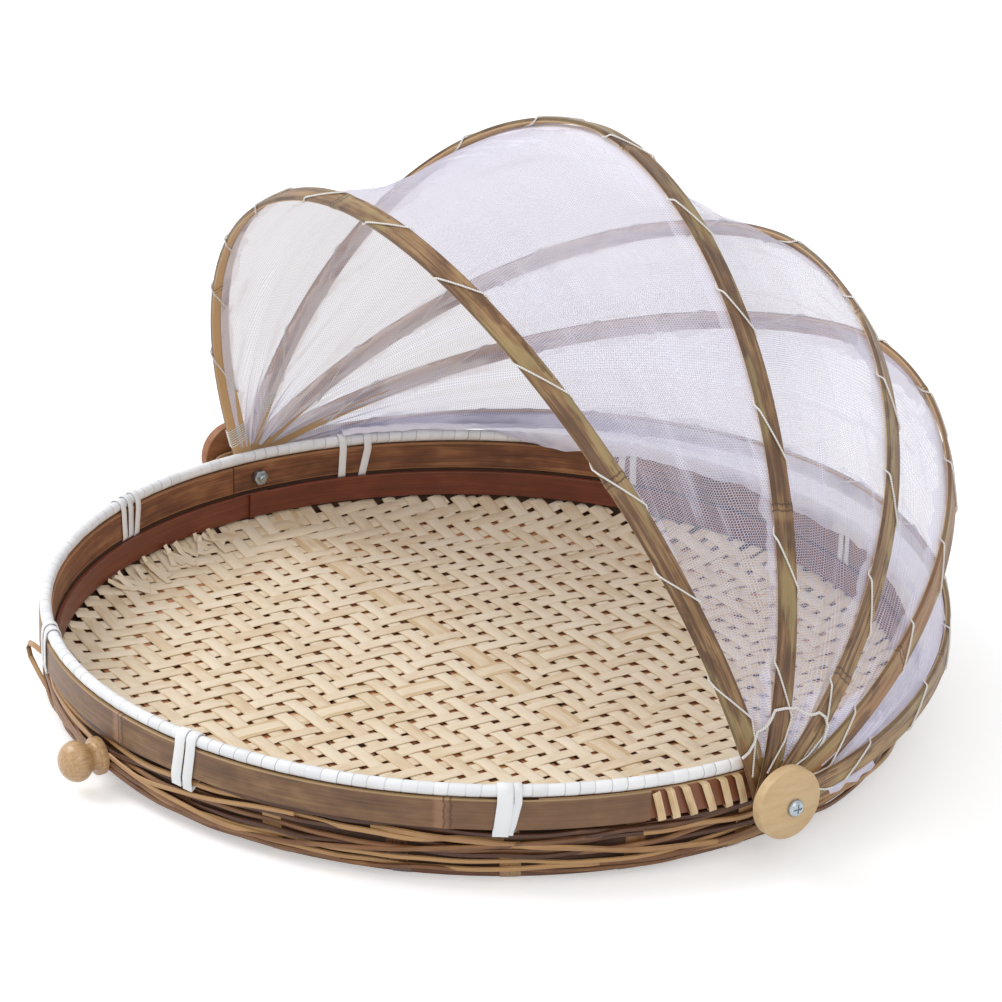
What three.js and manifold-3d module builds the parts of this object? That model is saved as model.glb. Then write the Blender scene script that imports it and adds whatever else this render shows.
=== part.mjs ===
// A round bamboo food basket: a shallow woven tray with a fan of five bamboo hoops and a
// white net that folds back over it. Millimetres, +Z up, table at z = 0, origin at the centre
// of the tray's underside, near pivot on +X, front (the side with the knob) on -Y.

import * as THREE from 'three';
import { mergeVertices } from 'three/addons/utils/BufferGeometryUtils.js';
import Module from 'manifold-3d';

const wasm = await Module();
wasm.setup();

// Round pieces all have the same facets, so the gaps between them stay even.
const facets = 60;
const seam = 0.4;               // gap between bamboo pieces that lie against each other
const snug = 0.3;               // gap at screws, nuts, discs and straps

// Tray, from the table up
const rimRadius = 200;          // centre circle of the wound rim
const baseThickness = 4.4;
const dishEdge = 38;            // the floor is flat up to this far from the underside's edge
const dishRise = 2.6;           // and this much higher at its edge
const matThickness = 1.6;
const matRise = 8.2;            // the mat climbs this far before the lower band holds it
const matEdgeThickness = 0.8;
const wallThickness = 3.1;
const wallRound = 8.6;          // how far the wall's foot draws in
const wallFoot = 3.8;           // width of the wall's flat foot
const lowerBandHeight = 12.4;
const lowerBandThickness = 2.3;
const bandHeight = 13.8;        // outer band and upper inner band
const outerBandThickness = 2.4;
const upperBandThickness = 2.4;
const bandGap = 1.4;            // between the outer band and the upper inner band

// Rim
const windingDiameter = 5.4;
const tieWidth = 3.4;
const tieThickness = 0.5;

// Laps and butts, as azimuths in degrees from the near pivot, anticlockwise from above
const outerLapEnd = -14.4;      // where the outer layer of the outer band stops
const outerLapLength = 13.6;
const lapLayer = 1.2;           // thickness of one skived layer
const lapDrop = 1.2;            // the bound lap's top edge is cut down for the binding
const upperButt = -175.8;
const upperButtGap = 0.18;
const lowerLapEnd = 181.8;
const lowerLapLength = 3.2;
const lowerLapLayer = 1.0;

// Cane binding round the lap
const caneTurns = 6;
const caneWidth = 3.4;
const caneThickness = 0.5;
const caneStart = -12.9;        // degrees
const canePitch = 2.02;         // degrees

// Pivots
const pivotZ = 35;
const boltDiameter = 4;
const boltHead = 7.6;
const boltHeadHeight = 2.4;
const recessWidth = 0.9;
const recessLength = 4.2;
const recessDepth = 1.1;
const nutAcrossFlats = 7;
const nutHeight = 3.2;
const boltEnd = 2.4;            // how far the bolt stands past its nut
const discDiameter = 32;
const discThickness = 5.5;
const discBevel = 0.6;
const discOffsetY = -2.3;       // the disc is drilled off centre
const discOffsetZ = 2.0;

// Hoops: width, thickness, and the way that they stack on the bolts
const hoopWidth = 9.8;
const hoopThickness = 2.2;
const hoopClearance = 1.7;      // between neighbouring hoops, for the stitching
const hoopTail = 11;            // strip left past the bolt
const stackGap = 2.4;           // from the outer band to hoop 1
const hoops = [                 // crown: how much further than the rim's radius a hoop reaches
  { angle: 71, crown: 20.3, power: 1.88 },
  { angle: 104.5, crown: 31.7, power: 1.8 },
  { angle: 138, crown: 28.1, power: 1.8 },
  { angle: 157.6, crown: 42.7, power: 1.74 },
  { angle: 174, crown: 12.1, power: 1.93 },
];

// Stitching
const threadDiameter = 0.56;
const threadLift = 0.2;         // off the hoop's faces
const stitchTurns = 11;
const stitchNear = 32;          // from the near bolt to the first stitch
const stitchFar = 48;           // from the last stitch to the far bolt
const bindingTurns = 8;
const bindingPitch = 1.35;
const bindingStarts = [17, 31]; // from the far bolt, hoops 1 and 2

// Net
const netThickness = 0.6;
const netSlack = [4, 5, 12, 10];

// Knob
const knobZ = 14.8;
const knobBall = 18.4;          // across the ball, which is flattened towards the wall
const knobLength = 13.4;        // of the ball, along the knob's axis
const knobNeck = 12.4;
const knobFlange = 17;
const knobStem = 6.4;           // from the wall to the ball

// Levels and radii that follow from the sizes above
const facetDip = rimRadius * (1 - Math.cos(Math.PI / facets)) + 0.005;
const hoopPitch = hoopThickness + hoopClearance;
const pivotHole = boltDiameter + 2 * snug;
const matTop = baseThickness + seam + matThickness;
const lowerBandBottom = matTop + matRise;
const lowerBandTop = lowerBandBottom + lowerBandHeight;
const bandBottom = lowerBandTop + 2 * snug + tieThickness + 0.1;
const bandTop = bandBottom + bandHeight;
const windingZ = bandTop + snug + windingDiameter / 2;
const outerBandIn = rimRadius + bandGap / 2;
const outerBandOut = outerBandIn + outerBandThickness;
const upperBandOut = rimRadius - bandGap / 2;
const upperBandIn = upperBandOut - upperBandThickness;
const lowerBandOut = upperBandIn - seam;
const lowerBandIn = lowerBandOut - lowerBandThickness;
const matEdgeIn = lowerBandOut + seam;
const matEdgeOut = matEdgeIn + matEdgeThickness;
const wallIn = matEdgeOut + seam;
const wallOut = wallIn + wallThickness;
const wallFootIn = wallOut - wallRound - wallFoot;
const baseOut = wallFootIn - seam;
const stackStart = outerBandOut + stackGap;
const discIn = stackStart + 4 * hoopPitch + hoopThickness + 2 * snug;
const headIn = discIn + discThickness + snug;

const radians = THREE.MathUtils.degToRad;

// Turns a geometry into one closed body with merged corners and its faces pointing out.
function closedBody(geometry) {
  geometry.deleteAttribute('normal');
  geometry.deleteAttribute('uv');
  const merged = mergeVertices(geometry, 1e-4);
  const p = merged.attributes.position;
  const a = new THREE.Vector3();
  const b = new THREE.Vector3();
  const c = new THREE.Vector3();
  const kept = [];
  let volume = 0;
  for (let i = 0; i < merged.index.count; i += 3) {
    const [i0, i1, i2] = [0, 1, 2].map((k) => merged.index.getX(i + k));
    if (i0 === i1 || i1 === i2 || i2 === i0) continue;
    kept.push(i0, i1, i2);
    a.fromBufferAttribute(p, i0);
    b.fromBufferAttribute(p, i1);
    c.fromBufferAttribute(p, i2);
    volume += a.dot(b.cross(c));
  }
  if (volume < 0) {
    for (let i = 0; i < kept.length; i += 3) {
      [kept[i + 1], kept[i + 2]] = [kept[i + 2], kept[i + 1]];
    }
  }
  merged.setIndex(kept);
  merged.computeVertexNormals();
  return merged;
}

function bodyFrom(rings, index) {
  const geometry = new THREE.BufferGeometry();
  const corners = rings.flat().flatMap((v) => v.toArray());
  geometry.setAttribute('position', new THREE.Float32BufferAttribute(corners, 3));
  geometry.setIndex(index);
  return closedBody(geometry);
}

// The faces between a row of sections, each a ring of points.
function skin(rings, closed) {
  const n = rings[0].length;
  const index = [];
  const rows = closed ? rings.length : rings.length - 1;
  for (let i = 0; i < rows; i++) {
    const next = ((i + 1) % rings.length) * n;
    for (let j = 0; j < n; j++) {
      const k = (j + 1) % n;
      index.push(i * n + j, i * n + k, next + k, i * n + j, next + k, next + j);
    }
  }
  return index;
}

// Skins a row of sections. A closed row joins its last to its first.
function loft(rings, closed = false) {
  const index = skin(rings, closed);
  if (!closed) {
    const n = rings[0].length;
    const last = (rings.length - 1) * n;
    for (let j = 1; j < n - 1; j++) index.push(0, j + 1, j, last, last + j, last + j + 1);
  }
  return bodyFrom(rings, index);
}

// Revolves a profile of [radius, z] points about Z.
function revolve(profile, segments = facets) {
  const points = profile.map(([r, z]) => new THREE.Vector2(r, z));
  return closedBody(new THREE.LatheGeometry(points, segments).rotateX(Math.PI / 2));
}

function solidOf(geometry) {
  return new wasm.Manifold(new wasm.Mesh({
    numProp: 3,
    vertProperties: new Float32Array(geometry.attributes.position.array),
    triVerts: new Uint32Array(geometry.index.array),
  }));
}

function cut(geometry, tools) {
  let body = solidOf(geometry);
  for (const tool of tools) body = body.subtract(solidOf(tool));
  const mesh = body.getMesh();
  const result = new THREE.BufferGeometry();
  result.setAttribute('position', new THREE.BufferAttribute(new Float32Array(mesh.vertProperties), 3));
  result.setIndex(new THREE.BufferAttribute(new Uint32Array(mesh.triVerts), 1));
  return closedBody(result);
}

// A round bar along X, for the bolts' holes.
function barX(diameter, from, to, y = 0, z = 0) {
  const bar = new THREE.CylinderGeometry(diameter / 2, diameter / 2, to - from, 16);
  bar.rotateZ(Math.PI / 2).translate((from + to) / 2, y, z);
  return closedBody(bar);
}

// A point at a radius, an azimuth in degrees and a height, moved sideways along the rim.
function polar(r, azimuth, z, sideways = 0) {
  const t = radians(azimuth);
  return new THREE.Vector3(
    r * Math.cos(t) - sideways * Math.sin(t),
    r * Math.sin(t) + sideways * Math.cos(t),
    z,
  );
}

const ease = THREE.MathUtils.smoothstep;

// A bent strip from one azimuth to another, whose faces and top edge may change along it.
function bentStrip(start, end, inner, outer, bottom, top) {
  const step = 360 / facets;
  const stops = [start];
  for (let a = Math.ceil((start + 0.4) / step) * step; a < end - 0.4; a += step) stops.push(a);
  stops.push(end);
  return loft(stops.map((a) => [
    polar(inner(a), a, bottom),
    polar(outer(a), a, bottom),
    polar(outer(a), a, top(a)),
    polar(inner(a), a, top(a)),
  ]));
}

const materials = {
  bandSkin: new THREE.MeshStandardMaterial({ color: 0x7d6546, roughness: 0.55, metalness: 0 }),
  innerBand: new THREE.MeshStandardMaterial({ color: 0x6b4226, roughness: 0.6, metalness: 0 }),
  redBand: new THREE.MeshStandardMaterial({ color: 0x74391f, roughness: 0.6, metalness: 0 }),
  winding: new THREE.MeshStandardMaterial({ color: 0xe4e6ea, roughness: 0.4, metalness: 0 }),
  tie: new THREE.MeshStandardMaterial({ color: 0xeceeee, roughness: 0.4, metalness: 0 }),
  cane: new THREE.MeshStandardMaterial({ color: 0xd9c296, roughness: 0.55, metalness: 0 }),
  mat: new THREE.MeshStandardMaterial({ color: 0xdcc9a2, roughness: 0.65, metalness: 0 }),
  base: new THREE.MeshStandardMaterial({ color: 0x6e3d22, roughness: 0.7, metalness: 0 }),
  splits: new THREE.MeshStandardMaterial({ color: 0x7c5a35, roughness: 0.65, metalness: 0 }),
  hoop: new THREE.MeshStandardMaterial({ color: 0x87704a, roughness: 0.55, metalness: 0 }),
  thread: new THREE.MeshStandardMaterial({ color: 0xeae8e2, roughness: 0.8, metalness: 0 }),
  net: new THREE.MeshStandardMaterial({ color: 0xe9e7f2, roughness: 0.9, metalness: 0 }),
  disc: new THREE.MeshStandardMaterial({ color: 0xd2ad74, roughness: 0.6, metalness: 0 }),
  knob: new THREE.MeshStandardMaterial({ color: 0xc4a070, roughness: 0.45, metalness: 0 }),
  zinc: new THREE.MeshStandardMaterial({ color: 0xa9b4bf, roughness: 0.3, metalness: 0.9 }),
};

const basket = new THREE.Group();

function add(parent, name, geometry, material) {
  const mesh = new THREE.Mesh(geometry, material);
  mesh.name = name;
  parent.add(mesh);
  return mesh;
}

// Woven under layer: flat below, dished above, its edge tucked against the wall's foot.
add(basket, 'base_weave', revolve([
  [0, 0],
  [baseOut, 0],
  [baseOut + 5.2, baseThickness + 0.2],
  [baseOut + 7.6, baseThickness + dishRise + 1.4],
  [baseOut - 8.4, baseThickness + dishRise],
  [baseOut - dishEdge, baseThickness],
  [0, baseThickness],
]), materials.base);

// Pale mat: lies on the under layer and turns up behind the lower inner band.
const matBottom = baseThickness + seam;
add(basket, 'woven_mat', revolve([
  [0, matBottom],
  [baseOut - dishEdge, matBottom],
  [baseOut - 8.6, matBottom + dishRise + 0.1],
  [matEdgeOut - 3.7, matBottom + dishRise + 3.2],
  [matEdgeOut, lowerBandBottom - 1.4],
  [matEdgeOut, lowerBandTop],
  [matEdgeIn, lowerBandTop],
  [matEdgeIn, lowerBandBottom - 0.4],
  [matEdgeIn - 3.3, lowerBandBottom - 2.6],
  [baseOut - 8.8, matTop + dishRise - 0.2],
  [baseOut - dishEdge, matTop],
  [0, matTop],
]), materials.mat);

// Wall of brown splits, rounded out from its foot to the rim.
add(basket, 'side_wall', revolve([
  [wallFootIn, 0],
  [wallFootIn + wallFoot, 0],
  [wallOut - 0.4 * wallRound, 5],
  [wallOut - 0.11 * wallRound, 11],
  [wallOut, 19],
  [wallOut, lowerBandTop],
  [wallIn, lowerBandTop],
  [wallIn, 11.5],
  [wallIn - 2.4, 7],
  [wallFootIn + 5.8, baseThickness + 0.4],
  [wallFootIn, 0],
]), materials.splits);

// Outer band: one strip whose skived ends lap left of the near pivot.
const lapStart = outerLapEnd - outerLapLength;
const bandHoles = [
  barX(pivotHole, lowerBandIn - 10, stackStart + 10, 0, pivotZ),
  barX(pivotHole, -stackStart - 10, -lowerBandIn + 10, 0, pivotZ),
];
const lapUnder = (a) => ease(a, lapStart + 350, lapStart + 360);
const lapOver = (a) => ease(a, outerLapEnd + 16, outerLapEnd + 26);
add(basket, 'outer_band', cut(bentStrip(
  lapStart,
  outerLapEnd + 360,
  (a) => outerBandIn + (lapLayer + snug) * lapUnder(a),
  (a) => outerBandIn + lapLayer + (outerBandThickness - lapLayer) * lapOver(a)
    + (2 * lapLayer + snug - outerBandThickness) * lapUnder(a),
  bandBottom,
  (a) => bandTop - lapDrop * (1 - lapOver(a)),
), bandHoles), materials.bandSkin);

// Cane binding: one flat strip wound round the lapped band. Each row of its loop has a
// radius, a height, the way that its face points, and the part of a turn gone so far.
const bindOut = outerBandIn + lapLayer + snug + caneThickness / 2;
const bindIn = outerBandIn - facetDip - snug - caneThickness / 2;
const bindTop = bandTop - lapDrop + snug + caneThickness / 2;
const bindBottom = bandBottom - snug - caneThickness / 2;
const caneCorner = 0.35;
const caneLoop = [
  [bindOut, bindBottom + caneCorner, 1, 0, 0],
  [bindOut, bindTop - caneCorner, 1, 0, 0.25],
  [bindOut - caneCorner, bindTop, 0, 1, 0.27],
  [bindIn + caneCorner, bindTop, 0, 1, 0.42],
  [bindIn, bindTop - caneCorner, -1, 0, 0.45],
  [bindIn, bindBottom + caneCorner, -1, 0, 0.75],
  [bindIn + caneCorner, bindBottom, 0, -1, 0.8],
  [bindOut - caneCorner, bindBottom, 0, -1, 0.97],
];
const caneRings = [];
for (let i = 0; i <= caneTurns * caneLoop.length - 4; i++) {
  const [r, z, nr, nz, gone] = caneLoop[i % caneLoop.length];
  const azimuth = caneStart + (Math.floor(i / caneLoop.length) + gone) * canePitch;
  const h = caneThickness / 2;
  const w = caneWidth / 2;
  caneRings.push([
    polar(r + nr * h, azimuth, z + nz * h, -w),
    polar(r + nr * h, azimuth, z + nz * h, w),
    polar(r - nr * h, azimuth, z - nz * h, w),
    polar(r - nr * h, azimuth, z - nz * h, -w),
  ]);
}
add(basket, 'cane_binding', loft(caneRings), materials.cane);

// Upper inner band, its ends butted near the far pivot.
add(basket, 'upper_inner_band', cut(bentStrip(
  upperButt + upperButtGap / 2,
  upperButt + 360 - upperButtGap / 2,
  () => upperBandIn,
  () => upperBandOut,
  bandBottom,
  () => bandTop,
), bandHoles), materials.innerBand);

// Lower inner band, its ends lapped near the far pivot.
const lowerLapStart = lowerLapEnd - lowerLapLength - 360;
const lowerCut = lowerBandThickness - lowerLapLayer;
add(basket, 'lower_inner_band', bentStrip(
  lowerLapStart,
  lowerLapEnd,
  (a) => lowerBandIn + lowerCut * (1 - ease(a, lowerLapStart + 3.4, lowerLapStart + 7)),
  (a) => lowerBandOut - lowerCut * ease(a, lowerLapEnd - 10, lowerLapEnd - 3.4),
  lowerBandBottom,
  () => lowerBandTop,
), materials.redBand);

// Wound rim on top of both bands.
const windingProfile = [];
for (let i = 0; i <= 8; i++) {
  const t = (i / 8) * 2 * Math.PI;
  windingProfile.push([
    rimRadius + (windingDiameter / 2) * Math.cos(t),
    windingZ + (windingDiameter / 2) * Math.sin(t),
  ]);
}
add(basket, 'rim_winding', revolve(windingProfile), materials.winding);

// White strip ties: each goes over the wound rim and under both bands.
const strapOut = outerBandOut + snug + tieThickness / 2;
const strapIn = upperBandIn - facetDip - snug - tieThickness / 2;
const strapLow = bandBottom - snug - tieThickness / 2;
const strapArc = windingDiameter / 2 + snug + tieThickness / 2;
function strap(azimuth, slantOut, slantIn) {
  const path = [
    [strapOut, strapLow + 0.3, 1, 0, slantOut],
    [strapOut, bandTop, 1, 0, 0],
    [rimRadius + strapArc * 0.92, windingZ + strapArc * 0.39, 0.92, 0.39, 0],
    [rimRadius + strapArc * 0.55, windingZ + strapArc * 0.9, 0.5, 0.87, 0],
    [rimRadius - strapArc * 0.55, windingZ + strapArc * 0.9, -0.5, 0.87, 0],
    [rimRadius - strapArc * 0.92, windingZ + strapArc * 0.39, -0.92, 0.39, 0],
    [strapIn, bandTop, -1, 0, 0],
    [strapIn, strapLow + 0.3, -1, 0, slantIn],
    [strapIn + 0.3, strapLow, 0, -1, slantIn],
    [strapOut - 0.3, strapLow, 0, -1, slantOut],
  ];
  const h = tieThickness / 2;
  const w = tieWidth / 2;
  return loft(path.map(([r, z, nr, nz, side]) => [
    polar(r + nr * h, azimuth, z + nz * h, side - w),
    polar(r + nr * h, azimuth, z + nz * h, side + w),
    polar(r - nr * h, azimuth, z - nz * h, side + w),
    polar(r - nr * h, azimuth, z - nz * h, side - w),
  ]), true);
}
const ties = [
  ['tie_front_a', -32.5, 0.9, 0],
  ['tie_front_b', -31.2, 0.3, 0],
  ['tie_knob_a', -74.7, 1.2, 0],
  ['tie_knob_b', -72.4, -1.2, 0],
  ['tie_left_a', -110.2, 0, 0.6],
  ['tie_left_b', -108.4, 0, -0.6],
  ['tie_far_left_a', -156.4, 0, 1.4],
  ['tie_far_left_b', -154.6, 0, 0],
  ['tie_far_left_c', -152.9, 0, -1],
  ['tie_far_a', 166.3, 0, 0.6],
  ['tie_far_b', 162.5, 0, 2.8],
  ['tie_back_left_a', 124.2, 0, 0.5],
  ['tie_back_left_b', 122.5, 0, -0.4],
  ['tie_back_a', 83, 0.5, 0],
  ['tie_back_b', 81.4, -0.4, 0],
  ['tie_back_right_a', 41.8, 0.4, 0],
  ['tie_back_right_b', 40.2, -0.5, 0],
];
for (const [name, azimuth, slantOut, slantIn] of ties) {
  add(basket, name, strap(azimuth, slantOut, slantIn), materials.tie);
}

// Turned knob, its flange against the wall at the front.
const knobProfile = [
  [0, 0],
  [knobFlange / 2 - 0.5, 0],
  [knobFlange / 2, 0.6],
  [knobFlange / 2, 2.4],
  [knobFlange / 2 - 0.8, 3.2],
  [knobNeck / 2 + 0.3, 4.4],
  [knobNeck / 2, 0.9 * knobStem],
];
for (let i = 0; i <= 7; i++) {
  const t = radians(-43 + 19 * i);
  knobProfile.push([
    i < 7 ? (knobBall / 2) * Math.cos(t) : 0,
    knobStem + (knobLength / 2) * (1 + Math.sin(t)),
  ]);
}
const knob = add(basket, 'front_knob', revolve(knobProfile, 16), materials.knob);
knob.rotation.x = Math.PI / 2;
knob.position.set(0, -(wallOut + snug), knobZ);

// Pivots: cross-recess bolt, wooden disc drilled off centre, nut inside the rim.
const nutOut = upperBandIn - snug - facetDip;
const boltTip = nutOut - nutHeight - boltEnd;
function bolt() {
  const head = boltHead / 2;
  const shaft = boltDiameter / 2;
  const headOut = headIn + boltHeadHeight;
  const body = revolve([
    [0, boltTip],
    [shaft - 0.4, boltTip],
    [shaft, boltTip + 0.4],
    [shaft, headIn],
    [head, headIn],
    [head, headIn + 0.3 * boltHeadHeight],
    [head * 0.72, headIn + 0.85 * boltHeadHeight],
    [head * 0.3, headOut],
    [0, headOut],
  ], 12);
  const recess = [[recessWidth, recessLength], [recessLength, recessWidth]].map(([x, y]) => {
    const blade = new THREE.BoxGeometry(x, y, 2 * recessDepth);
    return closedBody(blade.translate(0, 0, headOut));
  });
  return cut(body, recess).rotateY(Math.PI / 2);
}
function disc() {
  const r = discDiameter / 2;
  const blank = revolve([
    [0, 0],
    [r - discBevel, 0],
    [r, discBevel],
    [r, discThickness - discBevel],
    [r - discBevel, discThickness],
    [0, discThickness],
  ], 30).rotateY(Math.PI / 2);
  return cut(blank, [barX(pivotHole, -1, discThickness + 1, -discOffsetY, -discOffsetZ)]);
}
function nut() {
  const corner = nutAcrossFlats / Math.sqrt(3);
  const hex = new THREE.CylinderGeometry(corner, corner, nutHeight, 6);
  return cut(closedBody(hex.rotateZ(Math.PI / 2)), [barX(pivotHole, -nutHeight, nutHeight)]);
}
for (const [side, turn] of [['near', 0], ['far', 180]]) {
  const end = new THREE.Group();
  end.position.z = pivotZ;
  end.rotation.z = radians(turn);
  basket.add(end);
  add(end, `pivot_bolt_${side}`, bolt(), materials.zinc);
  const plate = add(end, `pivot_disc_${side}`, disc(), materials.disc);
  plate.position.set(discIn, discOffsetY, discOffsetZ);
  const inside = add(end, `pivot_nut_${side}`, nut(), materials.zinc);
  inside.position.x = nutOut - nutHeight / 2;
  inside.rotation.x = radians(12);
}

// A hoop's centre line in its own plane, from the near tail over the top to the far tail:
// x runs along the pivots' axis and y away from it.
const hoopSteps = 44;
function hoopLine(i) {
  const { crown, power } = hoops[i];
  const height = rimRadius + crown;
  const reach = stackStart + i * hoopPitch + hoopThickness / 2;
  const tail = [1, 0.6, 0.25].map((f) => [reach, -f * hoopTail]);
  const line = [...tail];
  for (let k = 0; k <= hoopSteps; k++) {
    const t = (k / hoopSteps) * Math.PI;
    const c = Math.cos(t);
    const s = k % hoopSteps ? Math.sin(t) : 0;
    const m = (Math.abs(c) ** power + s ** power) ** (-1 / power);
    line.push([reach * c * m, height * s * m]);
  }
  line.push(...tail.reverse().map(([x, y]) => [-x, y]));
  return line.map(([x, y]) => new THREE.Vector2(x, y));
}

// The line above the bolts only.
const hoopArch = (i) => hoopLine(i).slice(3, -3);

// Outward normal at each corner of a line.
function lineNormals(line) {
  return line.map((p, k) => {
    const before = line[Math.max(k - 1, 0)];
    const after = line[Math.min(k + 1, line.length - 1)];
    const along = after.clone().sub(before).normalize();
    return new THREE.Vector2(along.y, -along.x);
  });
}

function hoopBody(i) {
  const line = hoopLine(i);
  const normals = lineNormals(line);
  const h = hoopThickness / 2;
  const body = loft(line.map((p, k) => {
    const fromEnd = Math.min(k, line.length - 1 - k);
    const w = (hoopWidth / 2) * [0.5, 0.88, 1][Math.min(fromEnd, 2)];
    const n = normals[k];
    return [
      new THREE.Vector3(p.x + n.x * h, -w, p.y + n.y * h),
      new THREE.Vector3(p.x + n.x * h, w, p.y + n.y * h),
      new THREE.Vector3(p.x - n.x * h, w, p.y - n.y * h),
      new THREE.Vector3(p.x - n.x * h, -w, p.y - n.y * h),
    ];
  }));
  const reach = line[0].x;
  return cut(body, [
    barX(pivotHole + 0.2, reach - hoopThickness, reach + hoopThickness),
    barX(pivotHole + 0.2, -reach - hoopThickness, -reach + hoopThickness),
  ]);
}

// Measures a hoop from its near bolt and gives the place and outward normal at a distance.
function ruler(i) {
  const line = hoopArch(i);
  const normals = lineNormals(line);
  const marks = [0];
  for (let k = 1; k < line.length; k++) marks.push(marks[k - 1] + line[k].distanceTo(line[k - 1]));
  const at = (distance) => {
    let k = 1;
    while (k < marks.length - 1 && marks[k] < distance) k++;
    const f = (distance - marks[k - 1]) / (marks[k] - marks[k - 1]);
    return {
      place: line[k - 1].clone().lerp(line[k], f),
      normal: normals[k - 1].clone().lerp(normals[k], f).normalize(),
    };
  };
  return { length: marks[marks.length - 1], at };
}

// A thread's point beside a hoop: side is -1 in front and 1 behind, face 1 outside, -1 inside.
const threadOff = threadLift + threadDiameter / 2;
function beside(measure, distance, side, face) {
  const { place, normal } = measure.at(distance);
  const off = face * (hoopThickness / 2 + threadOff);
  return new THREE.Vector3(
    place.x + normal.x * off,
    side * (hoopWidth / 2 + threadOff),
    place.y + normal.y * off,
  );
}

// A four-sided tube along a row of points, its section carried along without twist.
function tube(points, diameter) {
  const last = points.length - 1;
  const tangents = points.map((p, k) => {
    const ahead = points[Math.min(k + 1, last)];
    return ahead.clone().sub(points[Math.max(k - 1, 0)]).normalize();
  });
  let normal = new THREE.Vector3(0.3, 0.2, 0.9).cross(tangents[0]).normalize();
  return loft(points.map((p, k) => {
    normal = normal.clone().addScaledVector(tangents[k], -normal.dot(tangents[k])).normalize();
    const other = tangents[k].clone().cross(normal);
    return [[1, 0], [0, 1], [-1, 0], [0, -1]].map(([a, b]) => p.clone()
      .addScaledVector(normal, (a * diameter) / 2)
      .addScaledVector(other, (b * diameter) / 2));
  }));
}

// Least gap between stretches of a tube that are a turn or more apart.
function leastGap(points, diameter, turn) {
  let least = Infinity;
  for (let i = 0; i < points.length; i++) {
    for (let j = i + turn; j < points.length; j++) {
      least = Math.min(least, points[i].distanceTo(points[j]));
    }
  }
  return least - diameter;
}

// Whip stitch: over the outside from the back edge to the front one, back along the inside.
// Each row has the part of a turn gone, the side from -1 to 1, and the face.
const stitchTurn = [
  [0, 1, 1],
  [0.133, 1 / 3, 1],
  [0.267, -1 / 3, 1],
  [0.4, -1, 1],
  [0.48, -1, -1],
  [0.7, 0, -1],
  [0.92, 1, -1],
];
function stitch(i) {
  const measure = ruler(i);
  const pitch = (measure.length - stitchNear - stitchFar) / stitchTurns;
  const points = [];
  for (let turn = 0; turn < stitchTurns; turn++) {
    for (const [gone, side, face] of stitchTurn) {
      points.push(beside(measure, stitchNear + (turn + gone) * pitch, side, face));
    }
  }
  return points;
}

// Tight turns round a hoop's far foot.
const bindingCorners = [[1, 1], [-1, 1], [-1, -1], [1, -1]];
function footBinding(i, from) {
  const measure = ruler(i);
  const points = [];
  for (let k = 0; k <= bindingTurns * 4; k++) {
    const [side, face] = bindingCorners[k % 4];
    points.push(beside(measure, measure.length - from - (k / 4) * bindingPitch, side, face));
  }
  return points;
}

// The cover turns about the pivots' axis. A hoop's angle is 0 flat at the front, 180 at the back.
const cover = new THREE.Group();
cover.position.z = pivotZ;
basket.add(cover);
hoops.forEach(({ angle }, i) => {
  const plane = new THREE.Group();
  plane.rotation.x = radians(90 - angle);
  cover.add(plane);
  add(plane, `hoop_${i + 1}`, hoopBody(i), materials.hoop);
  const sewn = stitch(i);
  const sewnGap = leastGap(sewn, threadDiameter, stitchTurn.length);
  console.log(`stitch_thread_${i + 1} least gap to itself, mm:`, sewnGap.toFixed(2));
  add(plane, `stitch_thread_${i + 1}`, tube(sewn, threadDiameter), materials.thread);
  if (i < bindingStarts.length) {
    const bound = footBinding(i, bindingStarts[i]);
    const boundGap = leastGap(bound, threadDiameter, bindingCorners.length);
    console.log(`foot_binding_${i + 1} least gap to itself, mm:`, boundGap.toFixed(2));
    add(plane, `foot_binding_${i + 1}`, tube(bound, threadDiameter), materials.thread);
  }
});

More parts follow.
